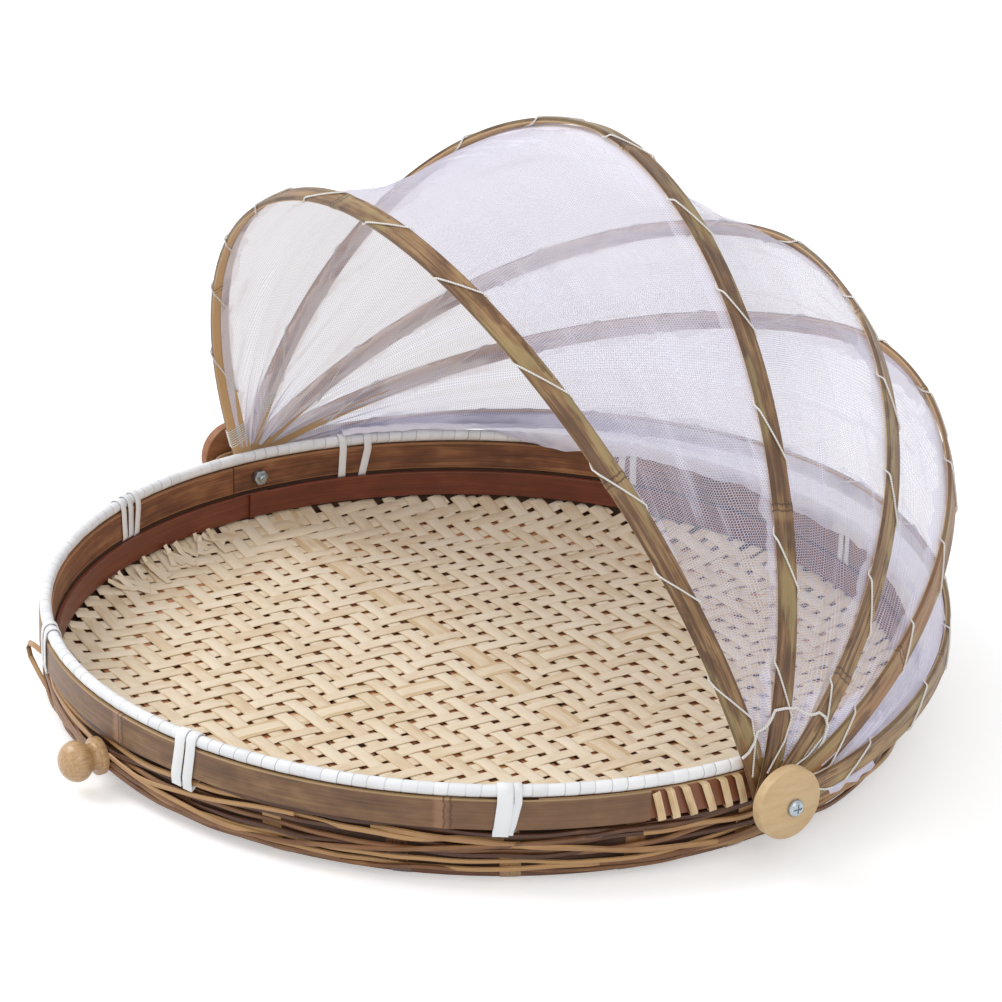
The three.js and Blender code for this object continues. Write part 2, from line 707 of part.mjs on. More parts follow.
// Net between two hoops: starts where they are far enough apart, just clear of their
// stitching, and hangs a little inwards.
const netEdge = hoopWidth / 2 + threadOff + threadDiameter / 2 + snug;
const netStart = 0.8;           // half the net's width at its lower ends
const netRows = 13;
const netColumns = 4;
function netPanel(i) {
  const front = hoops[i].angle;
  const back = hoops[i + 1].angle;
  const half = radians(back - front) / 2;
  const lowest = (netEdge * Math.cos(half) + netStart) / Math.sin(half);
  const away = (angle) => new THREE.Vector3(0, -Math.cos(radians(angle)), Math.sin(radians(angle)));
  const backward = (angle) => new THREE.Vector3(0, Math.sin(radians(angle)), Math.cos(radians(angle)));
  const inward = away((front + back) / 2).negate();
  const edge = (line, angle, side, u) => {
    const first = line.findIndex((p) => p.y > lowest);
    const t = first + u * (line.length - 1 - 2 * first);
    const k = Math.min(Math.floor(t), line.length - 2);
    const p = line[k].clone().lerp(line[k + 1], t - k);
    return new THREE.Vector3(p.x, 0, 0)
      .addScaledVector(away(angle), p.y)
      .addScaledVector(backward(angle), side * netEdge);
  };
  const arches = [hoopArch(i), hoopArch(i + 1)];
  const surface = (u, v) => {
    const slack = netSlack[i] * Math.sin(Math.PI * v) * Math.max(Math.sin(Math.PI * u), 0) ** 0.6;
    return edge(arches[0], front, 1, u)
      .lerp(edge(arches[1], back, -1, u), v)
      .addScaledVector(inward, slack);
  };
  const face = (u, v, side) => {
    const e = 0.01;
    const du = surface(Math.min(u + e, 1), v).sub(surface(Math.max(u - e, 0), v));
    const dv = surface(u, Math.min(v + e, 1)).sub(surface(u, Math.max(v - e, 0)));
    return surface(u, v).addScaledVector(du.cross(dv).normalize(), (side * netThickness) / 2);
  };
  const rings = [];
  for (let r = 0; r <= netRows; r++) {
    const ring = [];
    for (let c = 0; c <= netColumns; c++) ring.push(face(r / netRows, c / netColumns, 1));
    for (let c = netColumns; c >= 0; c--) ring.push(face(r / netRows, c / netColumns, -1));
    rings.push(ring);
  }
  const index = skin(rings, false);
  const n = rings[0].length;
  const last = netRows * n;
  for (let j = 0; j < netColumns; j++) {
    const k = n - 1 - j;
    index.push(j, k, k - 1, j, k - 1, j + 1);
    index.push(last + j, last + k - 1, last + k, last + j, last + j + 1, last + k - 1);
  }
  return bodyFrom(rings, index);
}
for (let i = 0; i < hoops.length - 1; i++) {
  add(cover, `net_panel_${i + 1}`, netPanel(i), materials.net);
}

export default basket;
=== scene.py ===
# A covered food basket: a shallow woven bamboo tray and a net cover on five bamboo hoops,
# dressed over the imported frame. Metres outside, millimetres inside the mesh code.
import bisect
import math
import random

import bmesh
import bpy
from mathutils import Matrix, Vector
from mathutils.noise import noise
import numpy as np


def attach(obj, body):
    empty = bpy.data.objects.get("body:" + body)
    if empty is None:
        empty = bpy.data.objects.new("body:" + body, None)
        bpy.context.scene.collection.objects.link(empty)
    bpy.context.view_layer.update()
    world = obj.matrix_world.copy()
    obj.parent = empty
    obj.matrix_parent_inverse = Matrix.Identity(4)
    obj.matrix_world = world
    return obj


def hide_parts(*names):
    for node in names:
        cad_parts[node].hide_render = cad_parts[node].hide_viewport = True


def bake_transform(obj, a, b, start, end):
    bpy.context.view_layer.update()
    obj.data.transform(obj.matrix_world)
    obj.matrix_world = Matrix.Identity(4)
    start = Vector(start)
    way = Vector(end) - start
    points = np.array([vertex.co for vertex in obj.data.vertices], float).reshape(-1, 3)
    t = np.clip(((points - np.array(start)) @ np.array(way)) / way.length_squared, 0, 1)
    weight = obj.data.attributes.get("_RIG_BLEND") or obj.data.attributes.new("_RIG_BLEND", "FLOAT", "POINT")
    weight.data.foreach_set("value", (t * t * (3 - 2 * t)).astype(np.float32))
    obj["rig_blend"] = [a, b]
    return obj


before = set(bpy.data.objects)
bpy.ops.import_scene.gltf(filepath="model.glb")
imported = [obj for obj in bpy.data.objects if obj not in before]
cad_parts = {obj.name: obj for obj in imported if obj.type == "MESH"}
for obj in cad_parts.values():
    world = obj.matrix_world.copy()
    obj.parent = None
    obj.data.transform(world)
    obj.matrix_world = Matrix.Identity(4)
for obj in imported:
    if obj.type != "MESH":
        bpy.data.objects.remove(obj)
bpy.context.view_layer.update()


# The camera stands at the photograph's angle, on a long lens, a little turned about its line
# of sight. Its distances are in metres from the frame's origin.
azimuth, elevation, roll = (math.radians(a) for a in (54.378, 22.472, 1.824))
aside, higher, distance = 0.00713, 0.08488, 1.798
back = Vector((
    math.sin(azimuth) * math.cos(elevation),
    -math.cos(azimuth) * math.cos(elevation),
    math.sin(elevation),
))
right = Vector((math.cos(azimuth), math.sin(azimuth), 0))
above = back.cross(right)
camera = bpy.data.objects.new("camera", bpy.data.cameras.new("camera"))
camera.matrix_world = Matrix.Translation(
    right * aside + above * higher + back * distance
) @ Matrix((
    right * math.cos(roll) + above * math.sin(roll),
    above * math.cos(roll) - right * math.sin(roll),
    back,
)).transposed().to_4x4()
camera.data.lens = 138.88
bpy.context.scene.collection.objects.link(camera)
bpy.context.scene.camera = camera
bpy.context.scene.view_settings.view_transform = "Standard"


# Plain studio, no part of the basket: a white table, light from all round, a large soft lamp
# on the left and a weaker one on the right.
class Wire:
    """A value on its way between a material's nodes; sums written on it add Math nodes."""

    def __init__(self, finish, socket):
        self.finish = finish
        self.socket = socket

    def sum(self, operation, *values):
        return self.finish.node("Math", {"operation": operation}, dict(enumerate(values)))

    def __add__(self, other):
        return self.sum("ADD", self, other)

    def __radd__(self, other):
        return self.sum("ADD", other, self)

    def __sub__(self, other):
        return self.sum("SUBTRACT", self, other)

    def __rsub__(self, other):
        return self.sum("SUBTRACT", other, self)

    def __mul__(self, other):
        return self.sum("MULTIPLY", self, other)

    def __truediv__(self, other):
        return self.sum("DIVIDE", self, other)

    def __abs__(self):
        return self.sum("ABSOLUTE", self)

    def __mod__(self, other):
        return self.sum("FLOORED_MODULO", self, other)


class Finish:
    """One material, or the world; all its nodes come from node()."""

    def __init__(self, name, kind=bpy.data.materials):
        self.material = kind.new(name)
        self.material.use_nodes = True
        self.tree = self.material.node_tree
        self.tree.nodes.clear()

    def node(self, kind, settings=None, inputs=None, out=0):
        made = self.tree.nodes.new("ShaderNode" + kind)
        for key, value in (settings or {}).items():
            if key == "stops":
                stops = made.color_ramp.elements
                while len(stops) < len(value):
                    stops.new(0.5)
                for stop, (position, colour) in zip(stops, value):
                    stop.position = position
                    stop.color = colour
            else:
                setattr(made, key, value)
        for key, value in (inputs or {}).items():
            if isinstance(value, Wire):
                self.tree.links.new(value.socket, made.inputs[key])
            else:
                made.inputs[key].default_value = value
        return Wire(self, made.outputs[out]) if made.outputs else None


def tint(red, green, blue):
    """A colour as it looks on a screen, 0 to 255."""
    parts = [c / 255 for c in (red, green, blue)]
    return tuple(c / 12.92 if c <= 0.04045 else ((c + 0.055) / 1.055) ** 2.4 for c in parts) + (1,)


def mark(name):
    """An object of the scene with an empty mesh."""
    thing = bpy.data.objects.new(name, bpy.data.meshes.new(name))
    bpy.context.scene.collection.objects.link(thing)
    return thing


def clear_rays(finish):
    """1 for what the camera sees by itself, in a gloss or through something clear."""
    sent, glossy, through = (
        finish.node("LightPath", out=f"Is {kind} Ray") for kind in ("Camera", "Glossy", "Transmission")
    )
    either = sent.sum("MAXIMUM", sent, glossy)
    return either.sum("MAXIMUM", either, through)


bm = bmesh.new()
bmesh.ops.create_grid(bm, x_segments=1, y_segments=1, size=6)
bmesh.ops.translate(bm, vec=(0, 0, -0.0002), verts=bm.verts)
table = mark("table")
bm.to_mesh(table.data)
bm.free()
paper = Finish("table_white")
seen = clear_rays(paper)
lit = paper.node("BsdfDiffuse", None, {"Color": (0.8, 0.8, 0.8, 1)})
glow = paper.node("Emission", None, {"Color": (1, 1, 1, 1), "Strength": 0.42})
bright = paper.node("AddShader", None, {0: lit, 1: glow})
paper.node("OutputMaterial", None, {
    "Surface": paper.node("MixShader", None, {"Fac": seen, 1: lit, 2: bright}),
})
table.data.materials.append(paper.material)

studio = Finish("studio", bpy.data.worlds)
bpy.context.scene.world = studio.material
seen = clear_rays(studio)
level = studio.node("MapRange", None, {"Value": seen, "To Min": 0.7, "To Max": 1.0})
studio.node("OutputWorld", None, {
    "Surface": studio.node("Background", None, {"Color": (1, 1, 1, 1), "Strength": level}),
})

for name, place, size, energy in (
    ("lamp_left", (-1.5, -1.3, 2.2), 1.6, 42),
    ("lamp_right", (1.9, -0.6, 1.6), 1.4, 12),
):
    lamp = bpy.data.objects.new(name, bpy.data.lights.new(name, "AREA"))
    lamp.data.size = size
    lamp.data.energy = energy
    lamp.location = place
    lamp.rotation_euler = (Vector(place) - Vector((0, 0, 0.1))).to_track_quat("Z", "Y").to_euler()
    bpy.context.scene.collection.objects.link(lamp)


# Under layer of the floor: coarse reddish brown splits, which show through the mat's holes
# and round the foot of the wall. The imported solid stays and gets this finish.
def fibre_noise(vector, detail=4):
    return vector.finish.node("TexNoise", None, {
        "Vector": vector, "Scale": 1, "Detail": detail, "Roughness": 0.6,
    })


def axes(vector):
    return [vector.finish.node("SeparateXYZ", None, {"Vector": vector}, out=i) for i in range(3)]


def spot(x, y, z):
    return x.finish.node("CombineXYZ", None, {"X": x, "Y": y, "Z": z})


def fade(value, low, high):
    """Goes softly from 0 to 1 as a value goes from one level to another."""
    return value.finish.node("MapRange", {"interpolation_type": "SMOOTHSTEP"}, {
        "Value": value, "From Min": low, "From Max": high,
    })


def blended(amount, first, second):
    return amount.finish.node("Mix", {"data_type": "RGBA"}, {0: amount, 6: first, 7: second}, out=2)


def ramp(value, *stops):
    """Colours by a value, from pairs of a level and a screen colour."""
    stops = [(at, tint(*colour)) for at, colour in stops]
    return value.finish.node("ValToRGB", {"stops": stops}, {"Fac": value})


def stained(colour, *stains):
    """Lays stains on a colour, each where its value goes from one level to another."""
    for value, low, high, strength, stain in stains:
        colour = blended(fade(value, low, high) * strength, colour, tint(*stain))
    return colour


def shine(colour, roughness, height=None, depth=0.0001, **fixed):
    """Closes a finish: its colour, its gloss and the relief that a height gives it."""
    finish = colour.finish
    inputs = {"Base Color": colour, "Roughness": roughness}
    if height is not None:
        inputs["Normal"] = finish.node("Bump", None, {"Height": height, "Distance": depth})
    inputs.update({key.replace("_", " "): value for key, value in fixed.items()})
    finish.node("OutputMaterial", None, {
        "Surface": finish.node("BsdfPrincipled", None, inputs),
    })
    return finish.material


def base_splits():
    finish = Finish("base_splits")
    x, y, z = axes(finish.node("TexCoord", out="Object"))
    row_pitch, column_pitch = 0.0125, 0.0115
    gaps, grains, odd = [], [], []
    for along, across, pitch in ((x, y, row_pitch), (y, x, column_pitch)):
        strip = across / pitch
        gaps.append(fade(abs(strip % 1 - 0.5), 0.36, 0.46))
        grains.append(fibre_noise(spot(along * 60, across * 1500, 0)))
        odd.append(strip.sum("GREATER_THAN", strip % 2, 1))
    over = abs(odd[1] - odd[0])
    gap = finish.node("Mix", None, {0: over, 2: gaps[0], 3: gaps[1]})
    grain = finish.node("Mix", None, {0: over, 2: grains[0], 3: grains[1]})
    colour = ramp(
        grain, (0.3, (146, 84, 50)), (0.5, (198, 132, 88)), (0.7, (228, 176, 130)))
    # Darker reddish brown for the lowest few millimetres: painted shade under the tray's foot.
    colour = stained(colour, (z, 0.0036, 0.0012, 0.65, (92, 58, 36)))
    # The gaps between the splits are painted near black: painted shade, as the under layer is one solid
    # piece.
    colour = blended(gap, colour, tint(16, 8, 4))
    return shine(colour, 0.7, grain - gap, 0.0004)


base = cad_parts["base_weave"]
base.material_slots[0].material = base_splits()


# Floor mat: pale bamboo splits in a diamond twill, laid on the under layer. Its edge turns up
# and is pressed against the wall by the lower inner band.
split_layers = ("along", "across", "lift", "tone", "ring")


def blank():
    """A mesh for splits, whose corners carry what their finish reads."""
    bm = bmesh.new()
    for name in split_layers:
        bm.verts.layers.float.new(name)
    return bm


def oval(width, thickness):
    """A split's section: a flat back, rounded edges and a slightly raised skin."""
    w, t = width / 2, thickness / 2
    return [
        (-w, 0), (-w * 0.88, t * 0.85), (0, t), (w * 0.88, t * 0.85),
        (w, 0), (w * 0.88, -t), (-w * 0.88, -t),
    ]


def slat(width, thickness, edge=0.35):
    """A planed strip's section: flat faces and softened corners."""
    w, t = width / 2, thickness / 2
    return [
        (-w, t - edge), (-w + edge, t), (w - edge, t), (w, t - edge),
        (w, edge - t), (w - edge, -t), (edge - w, -t), (-w, edge - t),
    ]


def lay(bm, stops, section, tone=0.5, joints=()):
    """Draws a section along stops of (place, side, width, thickness), swollen at its joints."""
    along, across, lift, shade, ring = (bm.verts.layers.float[n] for n in split_layers)
    swell_reach, swell_rise = 2.6, 0.5
    places = [Vector(s[0]) for s in stops]
    last = len(places) - 1
    around = len(section(1, 1))
    far = [0.0]
    for a, b in zip(places, places[1:]):
        far.append(far[-1] + (b - a).length)
    rows = []
    from_joint = [min((d - j for j in joints), key=abs, default=99) for d in far]
    for k, (_, side, width, thickness) in enumerate(stops):
        swell = swell_rise * math.exp(-((from_joint[k] / swell_reach) ** 2))
        width += swell
        thickness += swell
        ahead = (places[min(k + 1, last)] - places[max(k - 1, 0)]).normalized()
        side = Vector(side)
        side = (side - ahead * side.dot(ahead)).normalized()
        up = ahead.cross(side)
        rows.append([
            (places[k] + side * a + up * b, a, b) for a, b in section(width, thickness)
        ])
    grid = bmesh.ops.create_grid(bm, x_segments=last, y_segments=around, size=0.5)
    for v in grid["verts"]:
        k = round((v.co.x + 0.5) * last)
        j = round((v.co.y + 0.5) * around) % around
        v.co, a, b = rows[k][j]
        v[along] = far[k] / 1000
        v[across] = a / 1000
        v[lift] = b / 1000
        v[shade] = tone
        v[ring] = from_joint[k] / 1000


def in_metres(bm):
    bmesh.ops.recalc_face_normals(bm, faces=bm.faces)
    bmesh.ops.scale(bm, vec=(0.001, 0.001, 0.001), verts=bm.verts)


def placed(bm, name, finish):
    """Puts the mesh into the scene as a smooth object of one finish."""
    piece = mark(name)
    bm.to_mesh(piece.data)
    bm.free()
    piece.data.shade_smooth()
    piece.data.materials.append(finish)
    return piece


def made(bm, name, finish, sharp=40):
    """Closes the swept ends and makes a solid piece with crisp edges."""
    bmesh.ops.remove_doubles(bm, verts=bm.verts, dist=1e-4)
    open_edges = [e for e in bm.edges if e.is_boundary]
    if open_edges:
        bmesh.ops.holes_fill(bm, edges=open_edges, sides=0)
    in_metres(bm)
    piece = placed(bm, name, finish)
    piece.data.set_sharp_from_angle(angle=math.radians(sharp))
    return piece


def swept(name, finish, stops, section, tone=0.5, joints=(), sharp=40):
    """One split, strip or thread as a piece of its own."""
    bm = blank()
    lay(bm, stops, section, tone, joints)
    return made(bm, name, finish, sharp)


def layer(finish, name):
    """What the corners of a mesh carry under a name."""
    return finish.node("Attribute", {"attribute_name": name}, out="Fac")


def bamboo(name, dark, mid, pale, grain, patchy, varied=0.55, rough=0.5, fibre=2600, stretch=90,
           extra=None):
    """Split bamboo or cane: long fibres, blotches and a tone of its own for each split."""
    finish = Finish(name)
    along, across, tone = (layer(finish, n) for n in ("along", "across", "tone"))
    fibres = fibre_noise(spot(along * stretch, across * fibre, tone * 47))
    blotch = fibre_noise(spot(along * 55, across * 110, tone * 31), 2)
    shade = (fibres - 0.5) * grain + (blotch - 0.5) * patchy + (tone - 0.5) * varied + 0.5
    colour = ramp(shade, (0.2, dark), (0.5, mid), (0.8, pale))
    height = fibres
    if extra:
        colour, height = extra(colour, height, along, across, tone)
    return shine(colour, rough + (blotch - 0.5) * 0.2, height, 0.00008)


mat_centre = (1.0, 6.4)
middle_width, row_width, column_width = 11.6, 7.4, 6.9
mat_level = 5.5                 # middle of the two layers of splits
mat_over = 0.25                 # how far an over or under split stands off it
mat_split = 0.45                # thickness of one split
mat_edge = 197.4


def ripple(x, y, z):
    """A smooth random value between about -1 and 1."""
    return noise(Vector((x, y, z)))


def mat_height(x, y):
    """The mat lies flat in the middle and turns up towards the wall."""
    flat, turned_up, rise = 145, 52, 8.2
    return mat_level + rise * (max(math.hypot(x, y) - flat, 0) / turned_up) ** 2.6


def lane(k, first, pitch, shrink):
    """How far the k-th split lies from the wide middle one; the outermost crowd together."""
    n = abs(k)
    off = first + (n - 1) * (pitch - shrink * (n - 1) / 2) if n else 0
    crowded = max(n - 15, 0)
    return math.copysign(off - 0.42 * crowded * (crowded + 1) / 2, k)


mat_rows = {j: mat_centre[1] + lane(j, 12.65, 10.8, 0) for j in range(-20, 21)}
mat_columns = {i: mat_centre[0] + lane(i, 12.65, 9.9, 0.04) for i in range(-21, 22)}


def mat_point(across, along, k, rows):
    """A point on a split: rows run along X and slope one way, columns along Y the other."""
    seed = 1.3 if rows else 7.9
    wobble = 0.55 * ripple(k * 3.7, along / 45, seed)
    wobble += 0.35 * ripple(k * 5.1, along / 16, seed)
    if rows:
        return along, across - 0.037 * along + wobble
    return across + 0.024 * along + wobble, along


def weave_mat(rows, chance):
    """All the splits of one way, each over two and under two of the others."""
    bm = blank()
    mine, others = (mat_rows, mat_columns) if rows else (mat_columns, mat_rows)
    crossings = sorted((v, k) for k, v in others.items())
    shortest = 30                   # half a split's length across the mat's circle
    for k, off in mine.items():
        if mat_edge ** 2 - off ** 2 < shortest ** 2:
            continue
        width = middle_width if k == 0 else row_width if rows else column_width
        width *= chance.uniform(0.9, 1.06)
        tone = chance.random()
        keys = []
        for spot_at, other in crossings:
            over = (abs(k) + abs(other)) % 4 in (1, 2)
            keys.append((spot_at, mat_over if over == rows else -mat_over))
        ends = []
        for sign in (-1, 1):
            t = 0.0
            while max(
                math.hypot(*mat_point(off + corner, sign * t, k, rows))
                for corner in (-width / 2, width / 2)
            ) < mat_edge:
                t += 0.5
            ends.append(sign * t)
        stops = []
        span = ends[1] - ends[0]
        if span < 40:
            continue
        count = round(span / 2)
        for n in range(count + 1):
            t = ends[0] + span * n / count
            x, y = mat_point(off, t, k, rows)
            before = max((q for q in keys if q[0] <= t), default=keys[0])
            after = min((q for q in keys if q[0] > t), default=keys[-1])
            f = (t - before[0]) / ((after[0] - before[0]) or 1)
            f = min(max((f - 0.5) * 2.2 + 0.5, 0), 1)
            f = f * f * (3 - 2 * f)
            wave = before[1] + (after[1] - before[1]) * f
            z = mat_height(x, y) + wave
            dx, dy = (0, 1) if rows else (-1, 0)
            side = (dx, dy, mat_height(x + dx, y + dy) - mat_height(x, y))
            ragged = width * (1 + 0.07 * ripple(k * 2.3, t / 24, 5.5))
            stops.append(((x, y, z), side, ragged, mat_split))
        lay(bm, stops, oval, tone)
    return bm


def mat_skin(colour, height, along, across, tone):
    return stained(colour, (abs(across), 0.0027, 0.0035, 0.55, (198, 164, 110))), height


mat_finish = bamboo(
    "mat_splits", (206, 178, 138), (232, 215, 187), (241, 230, 208),
    grain=0.5, patchy=0.5, varied=0.2, extra=mat_skin)
for name, rows, seed in (("mat_rows", True, 3), ("mat_columns", False, 4)):
    piece = made(weave_mat(rows, random.Random(seed)), name, mat_finish)
    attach(piece, "tray")
    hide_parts("woven_mat")


def polar(r, degrees, z):
    t = math.radians(degrees)
    return Vector((r * math.cos(t), r * math.sin(t), z))


def crosswise(degrees, z=0):
    """The way along the rim, clockwise from above."""
    t = math.radians(degrees)
    return Vector((math.sin(t), -math.cos(t), z))


# Loose ends of splits, which lie in a jumble along the mat's left edge.
bm = blank()
chance = random.Random(17)
ends, first_end, end_step, wall_inside = 16, -171, 1.5, 192.4
for n in range(ends):
    a = first_end + n * end_step + chance.uniform(-0.8, 0.8)
    drift = chance.uniform(-3.5, 3.5)
    first = chance.uniform(174, 184)
    stops = []
    for f in (0, 0.15, 0.3, 0.5, 0.7, 0.85, 1):
        r = first + (wall_inside - first) * f
        z = mat_height(r, 0) + 0.9 + chance.uniform(0.5, 4) * f ** 2
        side = crosswise(a + drift * f, 0.4 * drift * f / 5)
        stops.append((polar(r, a + drift * f, z), side, 3.9 - 1.5 * f, 0.4))
    lay(bm, stops, oval, chance.random())
piece = made(bm, "mat_loose_ends", mat_finish)
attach(piece, "tray")
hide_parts("woven_mat")


# Wall: long brown splits woven round the tray over upright stakes, below the outer band. A
# few stray ones cross the rows, and a dark sheet behind them stands for the shade in the gaps.
def arc(start, end, step, radius, level, width, thickness):
    """Stops along an arc of the tray, with the strip's width upright."""
    count = max(2, round(abs(end - start) / step))
    stops = []
    for n in range(count + 1):
        a = start + (end - start) * n / count
        values = [v(a) if callable(v) else v for v in (radius, level, width, thickness)]
        stops.append((polar(values[0], a, values[1]), (0, 0, 1), values[2], values[3]))
    return stops


def foot(z):
    """Outside radius of the wall at a height: it draws in towards the table."""
    levels = ((0, 192.6), (5, 197.6), (11, 200.0), (19, 200.9), (40, 200.9))
    for (z0, r0), (z1, r1) in zip(levels, levels[1:]):
        if z <= z1:
            return r0 + (r1 - r0) * (z - z0) / (z1 - z0)
    return levels[-1][1]


stake_step = 15
wall_rows = (5.4, 8.3, 11.3, 14.3, 17.3, 20.3, 23.2, 26.0)
wall_strays = (
    # start and end azimuth, start and end height: long splits that cross the rows
    (-128, -72, 25.5, 7), (-112, -60, 24, 10), (-101, -52, 16, 6), (-78, -20, 7, 22),
    (-48, 6, 24, 9), (-20, 40, 8, 23), (30, 92, 24, 7), (75, 130, 7, 24), (118, 180, 23, 8),
    (168, 226, 7, 23), (205, 258, 24, 10), (-86, -57.5, 15, 24.6),
)
wall_loop = (
    # azimuth, height and how far out: a split that has sprung out of the weave in a loop
    (-113, 26.4, -1.5), (-114.4, 27.2, 1.5), (-116.6, 27, 4.6), (-118.6, 25, 6.6),
    (-119.4, 21.5, 7.2), (-118.9, 17.5, 6.4), (-117.2, 13.8, 4), (-114.4, 11, 1.2),
    (-111, 9.2, -1.5),
)


def round_split(width, thickness):
    """A split left half round, as it comes off the cane."""
    return [
        (-width / 2 * math.cos(math.tau * k / 8), thickness / 2 * math.sin(math.tau * k / 8))
        for k in range(8)
    ]


def weave_wall(chance):
    bm = blank()
    for n in range(round(360 / stake_step)):
        a = n * stake_step + chance.uniform(-1, 1)
        lean = chance.uniform(-0.8, 0.8)
        stops = []
        for z in (0.4, 3, 6, 10, 15, 20, 25, 30):
            where = a + lean * z / 30
            stops.append((polar(foot(z) - 2.3, where, z), crosswise(where), 9, 0.7))
        lay(bm, stops, oval, chance.random())
    for n, level in enumerate(wall_rows):
        start = chance.uniform(0, 360)
        drift = chance.uniform(0, 90)
        for length in (190, 175):
            width = chance.uniform(2.1, 3.0)

            def rise(a):
                t = math.radians(a)
                slow = ripple(math.cos(t) * 2.4, math.sin(t) * 2.4, drift)
                quick = ripple(math.cos(t) * 8, math.sin(t) * 8, drift)
                return min(level + 3.2 * slow + 1.7 * quick, 26.6)

            def out(a):
                """Passes before one stake and behind the next."""
                wave = (1 if n % 2 else -1) * math.cos(math.pi * a / stake_step)
                return foot(rise(a)) - 1.2 + 1.0 * wave

            stops = arc(start, start + length, 1.0, out, rise, width, 1.9)
            lay(bm, stops, round_split, chance.random())
            start += length - 4
    stops = [(polar(foot(z) + away, a, z), (0, 0.5, 0.85), 2.6, 1.6) for a, z, away in wall_loop]
    lay(bm, stops, round_split, 0.8)
    for first, last, low, high in wall_strays:
        drift = chance.uniform(0, 90)
        span = last - first
        loose = span < 30

        def climb(a):
            f = (a - first) / span
            sway = ripple(a / 9, drift, 0)
            return low + (high - low) * f * f * (3 - 2 * f) + sway

        def stand(a):
            """Sinks into the weave at its ends, but for a loose end."""
            f = (a - first) / span
            sunk = 2.4 * (1 - min(f / 0.12, 1))
            return foot(climb(a)) + 0.7 - sunk - (0 if loose else 2.4 * max((f - 0.88) / 0.12, 0))

        stops = arc(first, last, 1.0, stand, climb, chance.uniform(2.2, 2.9), 1.7)
        lay(bm, stops, round_split, 0.95 if loose else chance.uniform(0.3, 1))
    return bm


wall_finish = bamboo(
    "wall_splits", (72, 39, 20), (132, 90, 55), (182, 141, 95),
    grain=0.6, patchy=0.5, varied=0.75, rough=0.4, fibre=2200, stretch=40)
wall = made(weave_wall(random.Random(11)), "wall_splits", wall_finish)
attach(wall, "tray")
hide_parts("side_wall")


def shade_sheet_section(*sizes):
    """The dark shade sheet's whole section, carried round by stops 1 mm from the middle."""
    levels = (0, 2, 5, 8, 11, 15, 19, 24, 28.1)
    outside = [(z, foot(z) - 2.4) for z in levels]
    inside = [(z, foot(z) - 4.2) for z in reversed(levels)]
    return [(z, r - 1) for z, r in outside + inside]


def cloud(place, scale, detail=3):
    return place.finish.node("TexNoise", None, {"Vector": place, "Scale": scale, "Detail": detail})


# A dark sheet inside the wall: its upper part is painted shade for the gaps between the splits, and it turns
# reddish brown near the table.
shade = Finish("wall_shade")
place = shade.node("TexCoord", out="Object")
low = fade(axes(place)[2], 0.0045, 0.0025)
patches = cloud(place, 160, 4)
upper = blended(patches, tint(44, 26, 15), tint(74, 46, 28))
lower = blended(patches, tint(98, 62, 42), tint(150, 106, 78))
gap_shade_sheet = swept(
    "wall_gap_shade", shine(blended(low, upper, lower), 0.8),
    [(polar(1, n * 3, 0), (0, 0, 1), 1, 1) for n in range(121)], shade_sheet_section)
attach(gap_shade_sheet, "tray")
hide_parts("side_wall")


# Outer band: a bamboo strip round the rim with its green skin outside, gone olive and brown.
# Its thinned ends lap left of the near pivot, and the cut top edge is paler than the skin.
band_low, band_high = 28.2, 42.0
band_middle = (band_low + band_high) / 2
band_width = band_high - band_low


def ease(a, low, high):
    t = min(max((a - low) / (high - low), 0), 1)
    return t * t * (3 - 2 * t)


def joint_marks(colour, height, across, dark, pale):
    """A bamboo joint: two thin dark lines, a little crooked, with a paler scar beside them."""
    apart, wide = 0.0014, 0.0007
    bend = fibre_noise(spot(across * 300, 0, 0.7), 2) - 0.5
    ring = layer(across.finish, "ring") + bend * 0.003
    scar = fade(abs(ring + 0.003), 0.004, 0.001)
    lines = fade(abs(abs(ring) - apart), wide, wide * 0.2)
    broken = fibre_noise(spot(across * 700, ring * 60, 3), 3)
    colour = blended(scar * 0.35, colour, pale)
    colour = blended(lines * fade(broken, 0.25, 0.45) * 0.75, colour, dark)
    return colour, height - lines


def band_skin(colour, height, along, across, tone):
    worn = fibre_noise(spot(along * 9, across * 160, tone * 9), 5)
    pinkish = fibre_noise(spot(along * 6, across * 40, 5), 3)
    colour = stained(
        colour, (worn, 0.52, 0.74, 0.65, (98, 64, 40)),
        (pinkish, 0.58, 0.8, 0.5, (172, 122, 98)), (along, 1.16, 1.24, 0.55, (112, 78, 52)),
        (along, 0.135, 0.115, 0.85, (136, 80, 54)), (across, 0.0061, 0.0068, 0.6, (190, 160, 116)))
    return joint_marks(colour, height, across, tint(66, 40, 24), tint(186, 140, 110))


band_finish = bamboo(
    "band_skin", (72, 45, 26), (113, 80, 51), (144, 112, 76),
    grain=0.7, patchy=0.9, varied=0.3, rough=0.42, fibre=1500, stretch=26, extra=band_skin)
lap_end, lap_start = -14.4, -28.0


def band_face(a):
    """Inner and outer radius: each end thins, one under the other."""
    under = ease(a, lap_start + 350, lap_start + 360)
    over = ease(a, lap_end + 16, lap_end + 26)
    inner = 200.7 + 1.5 * under
    outer = 201.9 + 1.2 * over + 0.3 * under
    return inner, outer


def band_middle_radius(a):
    inner, outer = band_face(a)
    return (inner + outer) / 2


def band_thickness(a):
    inner, outer = band_face(a)
    return outer - inner


stops = arc(
    lap_start, lap_end + 360, 0.75, band_middle_radius, band_middle, band_width, band_thickness)
circumference = math.tau * 202
joints = [circumference * (a - lap_start) / 360 for a in (38.5, 131, 212, 275.2, 321)]
piece = swept("rim_band", band_finish, stops, slat, joints=joints)
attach(piece, "tray")
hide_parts("outer_band")


